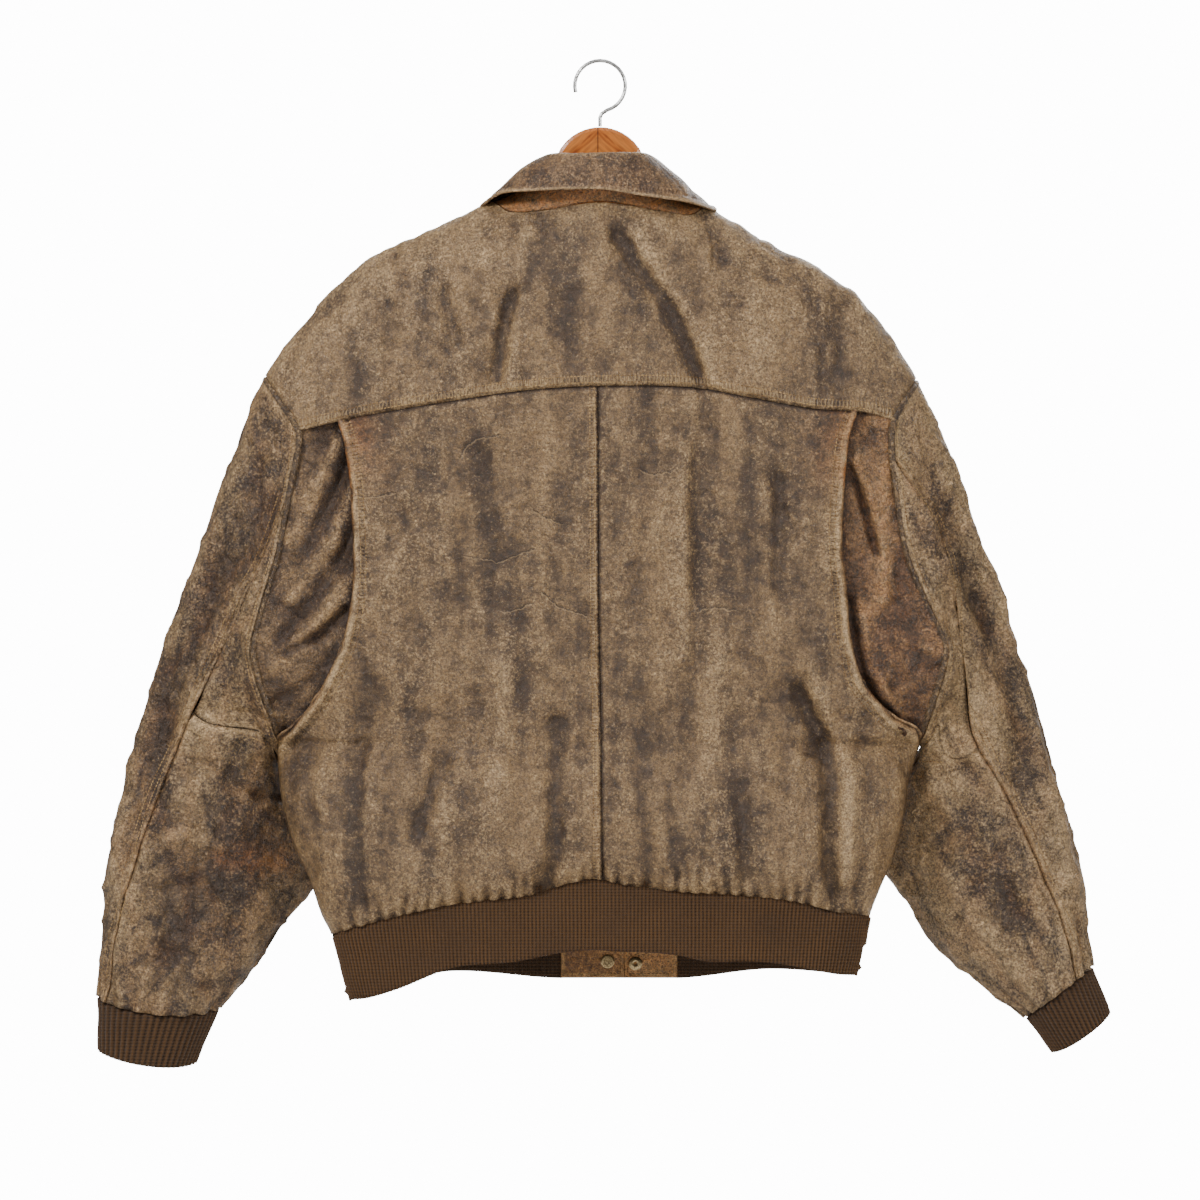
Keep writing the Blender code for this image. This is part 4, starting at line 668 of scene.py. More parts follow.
# %% The body's surface
def roof_run(x, z):
    """How far a place lies from the shoulder's ridge, down over the cloth."""
    drop = np.maximum(ridge_z(x) - z, 0)
    return np.sqrt((drop + RIDGE_RADIUS) ** 2 - RIDGE_RADIUS**2)


def roof_z(x, run):
    return ridge_z(x) - (np.sqrt(run * run + RIDGE_RADIUS**2) - RIDGE_RADIUS)


def torso_y(x, z, face, seam=SEAM):
    """How far forward the body's outer surface lies at each place of its outline."""
    edge = np.where(x < 0, outer_x["left"](z), outer_x["right"](z))
    inward = np.clip(1 - x / edge, 0, 1)
    below = smooth_step((UNDERARM_Z + 0.03 - z) / 0.06)
    swell = (1 - (1 - inward) ** 2) * (1 - below) + np.sqrt(1 - (1 - inward) ** 3) * below
    closing = np.clip((z - UNDERARM_Z) / 0.10, 0, 1)
    at_edge = 0.046 * np.sqrt(1 - (1 - closing) ** 2)
    full = BODY_DEPTH[face](z - hem_z[face](x))
    depth = (at_edge + (full - at_edge) * swell) * (1 - np.exp(-roof_run(x, z) / 0.055))
    depth += fold_height(x, z, MAIN_FOLDS[face]) * np.minimum(swell * 1.5, 1)
    depth += seam / 2 * smooth_step((UNDERARM_Z + 0.02 - z) / 0.01)
    return side_line_y(z) + face * depth


def on_body(x, z, face, lift=0.0):
    return np.stack([x, torso_y(x, z, face) + face * lift, z], -1)


def body_sheet(flat, face):
    """Lays a flat sheet of points (x, z) on the body."""
    return lambda u, v: on_body(*flat(u, v).T, face)


# %% [markdown]
# ## Laying out a piece of cloth
# A grid from bmesh is laid on the piece's surface, each point is moved out by the piece's own relief, and the
# Solidify modifier gives it the thickness of real leather, towards the inside. The relief also returns what the
# material needs to know: wear with painted highlight, dirt with painted shade, rust, the distance to a crack, and
# where a seam gathers the leather.
# Simulating the drape would lose the shape that the photograph shows, so the folds are set in code.

# %% The cloth maker
LEATHER = 0.0018
KNIT = 0.0026
sheets = {}


def normals(place, u, v, closed):
    step = 0.003
    u0, u1 = (u - step, u + step) if closed else (np.maximum(u - step, 0), np.minimum(u + step, 1))
    v0, v1 = np.maximum(v - step, 0), np.minimum(v + step, 1)
    across = np.cross(place(u1, v) - place(u0, v), place(u, v1) - place(u, v0))
    return across / np.linalg.norm(across, axis=1, keepdims=True)


def carry(mesh, name, values):
    mesh.attributes.new(name, "FLOAT", "POINT").data.foreach_set("value", values.astype(np.float32))


def lay_cloth(name, node, finish, place, columns, rows, inside, relief, thickness=LEATHER, closed=False):
    """Lays one piece of cloth, and hides the solid node that it stands for."""
    columns, rows = max(int(columns * FINE), 4), max(int(rows * FINE), 3)
    work = bmesh.new()
    bmesh.ops.create_grid(work, x_segments=columns, y_segments=rows, size=0.5)
    bmesh.ops.translate(work, verts=work.verts, vec=(0.5, 0.5, 0))
    if closed:
        for vertex in work.verts:
            turn = math.tau * vertex.co.x
            vertex.co = (math.cos(turn), math.sin(turn), vertex.co.y)
        bmesh.ops.remove_doubles(work, verts=work.verts, dist=0.0001)
    spots = np.array([vertex.co for vertex in work.verts], float)
    if closed:
        u, v = np.arctan2(spots[:, 1], spots[:, 0]) / math.tau % 1.0, spots[:, 2]
    else:
        u, v = spots[:, 0], spots[:, 1]
    middle = np.array([0.5])
    away = place(middle, middle) - np.array(inside)
    outward = normals(place, u, v, closed) * np.sign((away * normals(place, middle, middle, closed)).sum())
    spot = place(u, v)
    height, marks = relief(u, v, spot, outward)
    for vertex, where in zip(work.verts, spot + outward * height[:, None]):
        vertex.co = where
    work.normal_update()
    facing = np.array([vertex.normal for vertex in work.verts])
    if (facing * outward).sum() < 0:
        bmesh.ops.reverse_faces(work, faces=work.faces)
    mesh = bpy.data.meshes.new(name)
    work.to_mesh(mesh)
    work.free()
    for mark, values in marks.items():
        carry(mesh, mark, values)
    mesh.materials.append(finish)
    mesh.shade_smooth()
    piece = bpy.data.objects.new(name, mesh)
    bpy.context.collection.objects.link(piece)
    wall = piece.modifiers.new("thickness", "SOLIDIFY")
    wall.thickness = thickness
    wall.offset = -1.0
    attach(piece, "jacket")
    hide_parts(node)
    sheets[name] = piece
    return piece


# %% [markdown]
# ## Relief of the leather
# Every leather piece starts from the same soft hills and creases. Raised places are painted lighter, partly as
# rubbing and partly as painted highlight, and hollows are painted darker as painted shade. Then each seam adds its
# own: a lit edge, painted lighter as rubbing and painted highlight, a groove with painted shade in it, and gathers.


# %% Shared relief
def soft_relief(spot, strength, seed, lean=0.0):
    """Hills and creases that any leather has, in metres."""
    height = 0.0016 * hills(spot, (0.030, 0.05, 0.085), seed, lean)
    height += 0.0008 * hills(spot, (0.013, 0.02, 0.030), seed + 1, lean)
    height -= 0.0012 * creases(spot, (0.045, 0.06, 0.110), seed + 2, lean, 0.10)
    height -= 0.0007 * creases(spot, (0.024, 0.03, 0.045), seed + 3, lean + 50, 0.10)
    return height * strength


def crumpled(spot, strength, seed, lean=0.0):
    """Sharp ridges, as where the leather has been bent again and again."""
    tall = (1 - np.clip(np.abs(hills(spot, (0.026, 0.03, 0.058), seed, lean)), 0, 1)) ** 4
    wide = (1 - np.clip(np.abs(hills(spot, (0.050, 0.05, 0.030), seed + 1, lean)), 0, 1)) ** 5
    return strength * (0.0030 * (tall - 0.3) + 0.0026 * (wide - 0.25))


def marks_of(height, x, wear=0.0, dirt=0.0, rust=0.0, crack=None, pucker=0.0, along=None, crumple=0.25):
    """What the leather's material reads. Raised places are painted lighter, partly as rubbing and partly as painted
    highlight, and hollows are painted darker as painted shade.
    """
    plain = np.zeros_like(x)
    return {
        "wear": np.clip(wear + plain + height / 0.0110, 0, 1.2),
        "dirt": np.clip(dirt + plain - height / 0.0150, 0, 1.0),
        "rust": np.clip(rust + plain, 0, 1),
        "crack": plain + 9.0 if crack is None else crack,
        "pucker": np.clip(pucker + plain, 0, 1),
        "along": plain + x if along is None else along,
        "crumple": plain + crumple,
    }


def crack_distance(x, z):
    """The distance to the nearest crack, in millimetres, above zero below the crack."""
    nearest = np.full_like(x, 0.009)
    for points in CRACKS:
        away = beside(x, z, points)[1]
        nearest = np.where(np.abs(away) < np.abs(nearest), away, nearest)
    return nearest * 1000


PANEL_STITCH_BAND = (0.0075, 0.0125)  # the two rows of stitches beside a gusset, from the panel's edge


def back_relief(spot, side=None):
    """Relief of the back's yoke and panels, from where each point lies as seen from the back."""
    x, z = spot[:, 0], spot[:, 2]
    height = soft_relief(spot, 0.8, 11)
    height += 1.5 * fold_height(x, z, SMALL_FOLDS) + crumpled(spot, 0.35, 21)
    height += 0.0013 * hills(spot, (0.015, 0.03, 0.150), 25)
    wear, rust, pucker, along_seam = 0.12 * np.ones_like(x), np.zeros_like(x), np.zeros_like(x), x.copy()
    # painted shade in the hollows of the main folds
    dirt = 0.22 * np.clip(-fold_height(x, z, MAIN_FOLDS[BACK]) / 0.0070, 0, 1)
    below = yoke_seam_z(x) - z
    if side is None:
        height += 0.0012 * ridge(below, -0.006, 0.005) * (spot[:, 1] < 0)
        height -= 0.0010 * ridge(below, 0, 0.0018)
        pucker += ridge(below, -0.0065, 0.0045)
        # the yoke's edge painted lighter, as rubbing and painted highlight
        wear += 0.5 * ridge(below, -0.0015, 0.0016)
    else:
        height -= 0.0026 * smooth_step((0.0022 - below) / 0.0030)
        # painted shade in the groove where the panel runs under the yoke's edge
        dirt += 0.7 * ridge(below, 0, 0.0022)
        along, off = beside(x, z, PANEL_EDGE[side])
        off = np.abs(off)
        wave = np.sin(along * math.tau / 0.0085 + 3 * hills(spot, (0.03, 0.03, 0.03), 5))
        height += 0.0022 * ridge(off, 0.0045, 0.0045) + 0.0007 * wave * ridge(off, 0.010, 0.006)
        height -= 0.0010 * ridge(off, 0.0100, 0.0015) + 0.0035 * ridge(off, 0, 0.0018)
        # the rolled edge painted lighter, as rubbing and painted highlight
        rubbed = 0.5 + 0.9 * hills(spot, (0.012, 0.012, 0.020), 6)
        wear += 0.8 * ridge(off, 0.0032, 0.0030) * rubbed + 0.25 * ridge(off, 0.010, 0.006)
        along_seam = np.where(off < 0.018, along, along_seam)
        rust += 0.6 * ridge(off, 0.0016, 0.0016) * (0.4 + 0.6 * smooth_step((z + 0.44) / 0.05))
        rust += 0.45 * ridge(off, 0, 0.030) * smooth_step((z + 0.42) / 0.06)
        pucker += 0.8 * ridge(off, 0.010, 0.0035)
        to_centre = np.abs(beside(x, z, CENTRE_LINE[::-1])[1])
        height -= 0.0012 * ridge(to_centre, 0, 0.0016)
        # painted shade in the centre seam's groove
        dirt += 0.5 * ridge(to_centre, 0, 0.0016)
        if side == "left":
            height += 0.0009 * ridge(to_centre, 0.0050, 0.0030)
            # the left panel's lapped edge painted lighter, as rubbing and painted highlight
            wear += 0.45 * ridge(to_centre, 0.0026, 0.0014)
            pucker += 0.8 * ridge(to_centre, 0.0055, 0.0026)
            along_seam = np.where(to_centre < 0.012, z, along_seam)
        above = z - hem_z[BACK](x)
        wave = np.cos(x * math.tau / 0.0125 + 4 * hills(spot, (0.04, 0.04, 0.04), 8))
        uneven = 0.75 + 0.6 * hills(spot, (0.035, 0.035, 0.035), 12)
        reach = 0.015 + 0.010 * uneven
        height += 0.0021 * wave * uneven * np.exp(-((above / reach) ** 2)) - 0.0010 * ridge(above, 0, 0.004)
        wear += 0.22 * np.exp(-above / 0.05)
    return height, wear, dirt, rust, pucker, along_seam


# %% [markdown]
# ## The yoke
# One piece of leather covers both shoulders: it starts at the seam across the back, turns over the shoulders and
# ends at the forward shoulder seam. It is cut as a patch on (x, distance from the ridge), so it stays one sheet
# round the turn.

# %% Yoke
NECK_HALF = [(0.1005, SHOULDER_SEAM), (0.1005, 0.010), (0.098, -0.008), (0.084, -0.028), (0.050, -0.042)]
NECK_BACK = -0.0477
NECK_FRONT = [(0.0085, 0.140), (0.055, 0.099), (0.085, 0.052)]


def mirrored(points):
    return [(-x, run) for x, run in points]


def armhole_x(side, run):
    """Where the armhole lies at a distance from the ridge."""
    low = np.full_like(run, ARMHOLE[side][2][1] - 0.02)
    high = np.full_like(run, ARMHOLE[side][0][1])
    for _ in range(40):
        z = (low + high) / 2
        far = roof_run(outer_x[side](z), z) > run
        low, high = np.where(far, z, low), np.where(far, high, z)
    return outer_x[side](high)


def shoulder_seam(side):
    """The forward shoulder seam from the armhole to the neck, as points (x, distance from the ridge)."""
    sign = -1 if side == "left" else 1
    start = armhole_x(side, np.array([SHOULDER_SEAM]))[0] - sign * SEAM
    return [(start, SHOULDER_SEAM), (sign * NECK_HALF[0][0], SHOULDER_SEAM)]


def yoke_place():
    left_x, right_x = ARMHOLE["left"][2][0], ARMHOLE["right"][2][0]

    def bottom(u):
        x = left_x + (right_x - left_x) * u
        return np.stack([x, -roof_run(x, yoke_seam_z(x) + SEAM / 2)], -1)

    def end(side, corner):
        low = bottom(np.array([corner]))[0, 1]

        def edge(v):
            run = low + (SHOULDER_SEAM - low) * v
            return np.stack([armhole_x(side, np.abs(run)), run], -1)

        return edge

    sides, back = NECK_HALF[:3], NECK_HALF[2:]
    parts = [shoulder_seam("left"), mirrored(sides), mirrored(back) + [(0.0, NECK_BACK)] + back[::-1], sides[::-1],
             shoulder_seam("right")[::-1]]
    top = corner_path(parts, [9 / 36, 4 / 36, 10 / 36, 4 / 36, 9 / 36])
    flat = patch(end("left", 0.0), end("right", 1.0), bottom, top)

    def place(u, v):
        x, run = flat(0.0006 + 0.9988 * u, 1 - (1 - v) ** 1.35).T
        z = roof_z(x, run)
        return np.stack([x, np.where(run < 0, torso_y(x, z, BACK), torso_y(x, z, FRONT)), z], -1)

    return place


def edge_fade(u, v, width=0.04):
    """0 on the sheet's edges and 1 inside it."""
    return smooth_step(np.minimum(np.minimum(u, 1 - u), np.minimum(v, 1 - v)) / width)


def yoke_relief(u, v, spot, outward):
    height, wear, dirt, rust, pucker, along = back_relief(spot)
    height *= smooth_step(np.minimum(u, 1 - u) / 0.025)
    height *= smooth_step((1 - v) / 0.04)
    shoulder = np.exp(-(roof_run(spot[:, 0], spot[:, 2]) / 0.05))
    return height, marks_of(height, u, wear + 0.25 * shoulder, dirt, rust, None, pucker, along)


lay_cloth("yoke_leather", "back_yoke", jacket_leather, yoke_place(), 180, 84, (0, 0, -0.25),
          yoke_relief)
print("yoke laid")

# %% [markdown]
# ## The back panels and the gussets
# Two panels meet at the centre back. The outer edge of each stands free over a gusset, the extra leather that lets
# the arms reach forward, and is rolled and stitched twice. The gusset is tucked under it in deep slanting folds.


# %% Back panels
LAP = 0.005  # how far a piece runs in under its neighbour at a seam


def on_outline(side, path, leaves=True):
    """Draws an edge of points (x, z) onto the outline, up to the height where it leaves it."""

    def point(v):
        x, z = path(v).T
        return np.stack([np.where((z < UNDERARM_Z) | (not leaves), outer_x[side](z), x), z], -1)

    return point


def edge_along(line, start, end, shift=0.0):
    """The edge z(x) from x = start to x = end."""

    def point(u):
        x = start + (end - start) * u
        return np.stack([x, line(x) + shift], -1)

    return point


def panel_place(side):
    sign = -1 if side == "left" else 1
    outer = on_outline(side, smooth_path(SIDE_LINE[side][::-1] + PANEL_EDGE[side][1:]))
    inner = smooth_path([(x + sign * SEAM / 2, z) for x, z in CENTRE_LINE])
    ends = inner(np.array([0.0, 1.0]))[:, 0]
    bottom = edge_along(hem_z[BACK], SIDE_LINE[side][-1][0], ends[0], SEAM / 2)
    top = edge_along(yoke_seam_z, PANEL_EDGE[side][-1][0], ends[1], LAP)
    flat = patch(outer, inner, bottom, top)
    return body_sheet(lambda u, v: flat(u**1.12, v), BACK)


for side in ("left", "right"):

    def panel_relief(u, v, spot, outward, side=side):
        x, z = spot[:, 0], spot[:, 2]
        height, wear, dirt, rust, pucker, along = back_relief(spot, side)
        height *= np.where(z < UNDERARM_Z, smooth_step(u / 0.05), 1)
        return height, marks_of(height, x, wear, dirt, rust, crack_distance(x, z), pucker, along)

    lay_cloth(f"panel_leather_{side}", f"back_panel_{side}", jacket_leather, panel_place(side),
              98, 184, (0, 0, -0.5), panel_relief)
print("back panels laid")

# %% Gussets
GUSSET_FOLDS = {
    "left": [
        (px((353, 448), (330, 500), (300, 560)), 0.0060, -0.0075),
        (px((338, 440), (312, 496), (290, 540)), 0.0070, 0.0030),
        (px((352, 490), (334, 540), (290, 600)), 0.0065, 0.0035),
        (px((353, 530), (330, 575), (280, 640)), 0.0060, -0.0060),
        (px((352, 575), (320, 620), (272, 672)), 0.0070, 0.0035),
        (px((345, 610), (318, 635), (284, 655)), 0.0045, -0.0060),
        (px((330, 660), (300, 690), (275, 705)), 0.0060, -0.0040),
    ],
    "right": [
        (px((849, 466), (860, 489), (870, 525), (877, 552)), 0.0035, -0.0085),
        (px((858, 462), (869, 489), (879, 525), (884, 556)), 0.0035, 0.0030),
        (px((886, 470), (886, 530), (884, 600)), 0.0060, 0.0045),
        (px((850, 600), (856, 647), (866, 683), (879, 704), (896, 722)), 0.0040, -0.0080),
        (px((862, 600), (868, 640), (878, 676), (892, 700)), 0.0045, 0.0030),
        (px((900, 560), (905, 620), (920, 660)), 0.0060, -0.0040),
        (px((880, 650), (900, 640), (930, 650)), 0.0045, 0.0030),
        (px((895, 690), (915, 672), (940, 668)), 0.0045, -0.0035),
    ],
}
TUCK = 0.0120


def gusset_place(side):
    sign = -1 if side == "left" else 1
    top_x, top_z = ARMHOLE[side][2]
    armhole = on_outline(side, smooth_path(ARMHOLE[side][-1:1:-1] + [(top_x, top_z + LAP)]), leaves=False)
    under = smooth_path([(x - sign * TUCK, z + 0.002) for x, z in PANEL_EDGE[side][1:-1]]
                        + [(PANEL_EDGE[side][-1][0] - sign * TUCK, PANEL_EDGE[side][-1][1] + LAP)])
    ends = np.array([0.0, 1.0])
    outer_ends, inner_ends = armhole(ends), under(ends)
    flat = patch(armhole, under, lambda u: outer_ends[0] + (inner_ends[0] - outer_ends[0]) * u[:, None],
                 lambda u: outer_ends[1] + (inner_ends[1] - outer_ends[1]) * u[:, None])
    return body_sheet(flat, BACK)


for side in ("left", "right"):

    def gusset_relief(u, v, spot, outward, side=side):
        x, z = spot[:, 0], spot[:, 2]
        low = 1 - smooth_step(v / 0.25)
        sunk = 0.0022 + 0.0050 * smooth_step(u / (0.85 - 0.6 * low))
        fade = smooth_step(u / 0.10) * smooth_step((1 - u) / 0.10)
        lean = 35 if side == "left" else -20
        folds = fold_height(x, z, GUSSET_FOLDS[side]) + soft_relief(spot, 0.8, 31, lean) + crumpled(spot, 0.5, 37)
        folds = folds * fade
        folds = folds * (0.75 + 0.5 * hills(spot, (0.03, 0.03, 0.04), 33))
        warm = 0.55 if side == "right" else 0.12
        # painted shade along the panel's edge, where the gusset runs under it, over a darker tone on the whole gusset
        under = ridge(np.abs(beside(x, z, PANEL_EDGE[side])[1]), 0, 0.006)
        rust = warm * (0.45 + 0.5 * np.clip(folds / 0.003, 0, 1))
        marks = marks_of(folds * 1.2, x, 0.06, 0.20 + 0.55 * under, rust, crumple=0.8)
        lapped = 0.0010 * smooth_step((z - yoke_seam_z(x)) / 0.003)
        return folds - sunk * smooth_step(u / 0.06) - lapped, marks

    lay_cloth(f"gusset_leather_{side}", f"back_gusset_{side}", jacket_leather, gusset_place(side),
              48, 130, (0, 0, -0.45), gusset_relief)
print("gussets laid")

# %% [markdown]
# ## The fronts and the zip
# The photograph doesn't show the front, so it is finished plainly: two panels with the folds that hang from the
# shoulders, a stitched edge on each side of the zip, and brass teeth, which are small blocks set in turn on each
# side of the middle.

# %% Fronts
ZIP_TOP = -0.232
ZIP_FOOT = HEM_LINE[FRONT][3][1]


def zip_x(z):
    return 0.021 * (ZIP_TOP - z) / (ZIP_TOP - ZIP_FOOT)


def front_place(side):
    sign = -1 if side == "left" else 1
    shoulder = 0.487
    neck = [(sign * x, run) for x, run in [NECK_HALF[0]] + NECK_FRONT[::-1]]
    top_path = corner_path([shoulder_seam(side), neck], [shoulder, 1 - shoulder])

    def top(u):
        x, run = top_path(u).T
        return np.stack([x, roof_z(x, run + SEAM)], -1)

    corners = top(np.array([0.0, 1.0]))
    side_points = SIDE_LINE[side][::-1] + [point for point in ARMHOLE[side][-2:0:-1] if point[1] < corners[0][1]]
    outer = on_outline(side, smooth_path(side_points + [tuple(corners[0])]), leaves=False)
    inner = smooth_path([(zip_x(ZIP_FOOT) + sign * 0.006, ZIP_FOOT + SEAM / 2), tuple(corners[1])])
    foot = inner(np.array([0.0]))[0, 0]
    flat = patch(outer, inner, edge_along(hem_z[FRONT], SIDE_LINE[side][-1][0], foot, SEAM / 2), top)
    return body_sheet(flat, FRONT)


for side in ("left", "right"):

    def front_relief(u, v, spot, outward, side=side):
        x, z = spot[:, 0], spot[:, 2]
        height = soft_relief(spot, 0.9, 47)
        above = z - hem_z[FRONT](x)
        wave = np.cos(x * math.tau / 0.0135 + 4 * hills(spot, (0.04, 0.04, 0.04), 9))
        height += 0.0018 * wave * np.exp(-((above / 0.018) ** 2))
        height *= edge_fade(u, v, 0.03)
        placket = np.abs(x - zip_x(z)) - 0.006
        height = height * smooth_step(placket / 0.02) + 0.0006 * ridge(placket, 0.004, 0.0035)
        return height, marks_of(height, x, 0.15 + 0.35 * ridge(placket, 0.001, 0.002), 0.0, 0.0)

    lay_cloth(f"front_leather_{side}", f"front_{side}", jacket_leather, front_place(side), 74,
              136, (0, 0, -0.5), front_relief)


# %% Zip teeth
def place_block(work, size, matrix):
    made = bmesh.ops.create_cube(work, size=1.0)
    bmesh.ops.scale(work, verts=made["verts"], vec=size)
    bmesh.ops.transform(work, verts=made["verts"], matrix=matrix)


def finish_piece(name, work, material, nodes=()):
    """Turns a bmesh into a piece that rides on the jacket."""
    mesh = bpy.data.meshes.new(name)
    work.to_mesh(mesh)
    work.free()
    mesh.materials.append(material)
    piece = bpy.data.objects.new(name, mesh)
    bpy.context.collection.objects.link(piece)
    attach(piece, "jacket")
    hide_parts(*nodes)
    return piece


TOOTH_PITCH = 0.0021
work = bmesh.new()
tooth_z = np.arange(ZIP_FOOT + 0.001, ZIP_TOP - 0.011, TOOTH_PITCH / 2)
tooth_y = torso_y(zip_x(tooth_z), tooth_z, FRONT)
for index, (z, y) in enumerate(zip(tooth_z, tooth_y)):
    sign = 1 if index % 2 else -1
    matrix = Matrix.Translation((float(zip_x(z)) + sign * 0.0009, float(y) - 0.0022, float(z)))
    place_block(work, (0.0030, 0.0020, 0.00085), matrix)
zip_teeth = finish_piece("zip_teeth", work, brass, ["zip_chain"])
print("teeth:", len(tooth_z))

# %% [markdown]
# ## The sleeves
# A sleeve is an oval tube that starts on the armhole and bends down to the cuff. Its back seam divides it into the
# top sleeve and the under sleeve, and a cross seam near the elbow's inside divides the under sleeve. This leather
# is the most crumpled of the jacket: folds run round it where the arm bends, so its hills lean with the sleeve.

# %% The sleeve's tube
SLEEVE_OUTER = {
    "left": [(0, -0.312, 0.0, -0.292), (0.15, -0.335, 0.004, -0.344), (0.30, -0.365, 0.010, -0.430),
             (0.45, -0.394, 0.014, -0.511), (0.60, -0.421, 0.018, -0.588), (0.75, -0.445, 0.022, -0.677),
             (0.88, -0.461, 0.026, -0.765), (1, -0.467, 0.030, -0.869)],
    "right": [(0, 0.295, 0.0, -0.295), (0.15, 0.319, 0.004, -0.351), (0.30, 0.349, 0.010, -0.427),
              (0.45, 0.377, 0.014, -0.509), (0.60, 0.403, 0.018, -0.584), (0.75, 0.426, 0.022, -0.663),
              (0.88, 0.448, 0.026, -0.751), (1, 0.458, 0.030, -0.841)],
}
SLEEVE_INNER = {
    "left": [(0, -0.301, 0.004, UNDERARM_Z), (0.15, -0.301, 0.017, -0.645), (0.30, -0.291, 0.033, -0.668),
             (0.45, -0.279, 0.043, -0.702), (0.60, -0.264, 0.046, -0.754), (0.75, -0.291, 0.042, -0.797),
             (0.88, -0.320, 0.038, -0.841), (1, -0.354, 0.034, -0.879)],
    "right": [(0, 0.299, 0.004, UNDERARM_Z), (0.15, 0.298, 0.017, -0.645), (0.30, 0.284, 0.034, -0.667),
              (0.45, 0.273, 0.044, -0.698), (0.60, 0.262, 0.046, -0.746), (0.75, 0.285, 0.042, -0.779),
              (0.88, 0.314, 0.038, -0.825), (1, 0.396, 0.034, -0.888)],
}
BACK_SEAM = {
    "left": [(0, 0.245), (0.086, 0.318), (0.189, 0.333), (0.283, 0.333), (0.399, 0.320), (0.517, 0.297),
             (0.687, 0.270), (0.848, 0.250), (0.924, 0.215), (1, 0.165)],
    "right": [(0, 0.190), (0.094, 0.198), (0.208, 0.208), (0.28, 0.250), (0.36, 0.345), (0.44, 0.410),
              (0.50, 0.415), (0.628, 0.373), (0.790, 0.338), (0.924, 0.297), (1, 0.310)],
}
FRONT_SEAM = -0.62
CROSS_SEAM = {"left": (0.53, 0.37), "right": (0.55, 0.35)}
CUFF_OUTER = {"left": (-0.4665, 0.030, -0.918), "right": (0.4745, 0.032, -0.884)}
CUFF_INNER = {"left": (-0.3755, 0.034, -0.930), "right": (0.4205, 0.034, -0.920)}
CUFF_LEAN = {"left": (0.38, 0.34), "right": (0.10, 0.25)}
CUFF_DEPTH = (0.033, 0.029)
sleeve_depth = smooth_line([(0, 0.050), (0.15, 0.050), (0.30, 0.047), (0.60, 0.044), (0.85, 0.043), (0.95, 0.039),
                            (1, 0.034)])
sleeve_outer = {side: timed_path(points) for side, points in SLEEVE_OUTER.items()}
sleeve_inner = {side: timed_path(points) for side, points in SLEEVE_INNER.items()}
back_seam = {side: smooth_line(points) for side, points in BACK_SEAM.items()}


def ring_point(outer, inner, depth, lean, turn):
    """A place on a flat oval ring. turn runs from the outer edge over the back."""
    along = np.cos(turn)
    power = 1.1 + 0.4 * (1 - along) / 2
    swing = depth * np.sign(np.sin(turn)) * np.abs(np.sin(turn)) ** power
    middle = (outer + inner) / 2 + (outer - inner) / 2 * along[:, None]
    return middle + np.stack([0 * swing, -swing, -lean * swing], -1)


def sleeve_point(side, t, turn):
    def plain(t):
        lean = CUFF_LEAN[side][0] * smooth_step((t - 0.78) / 0.22)
        return ring_point(sleeve_outer[side](t), sleeve_inner[side](t), sleeve_depth(t), lean, turn)

    share = (1 - np.cos(turn)) / 2
    top, low = ARMHOLE[side][0][1], ARMHOLE[side][-1][1]
    z = top + (low - top) * 3 * share / (1 + 2 * share)
    x = outer_x[side](z)
    y = np.where(np.sin(turn) > 0, torso_y(x, z, BACK, 0), torso_y(x, z, FRONT, 0))
    return plain(t) + (np.stack([x, y, z], -1) - plain(0 * t)) * ((1 - t) ** 2)[:, None]


# folds of both sleeves: from (t, half turns) to (t, half turns), half the width, and the height
SLEEVE_FOLDS = [
    ([(0.10, 0.25), (0.45, 0.15)], 0.06, -0.005),
    ([(0.28, 0.62), (0.55, 0.30)], 0.06, 0.005),
    ([(0.55, 0.10), (0.85, 0.45)], 0.06, -0.005),
    ([(0.62, 0.62), (0.90, 0.50)], 0.07, -0.005),
    ([(0.80, 0.10), (0.95, 0.30)], 0.05, 0.004),
    ([(0.20, -0.25), (0.55, -0.35)], 0.07, -0.005),
    ([(0.60, -0.50), (0.90, -0.30)], 0.07, -0.005),
]
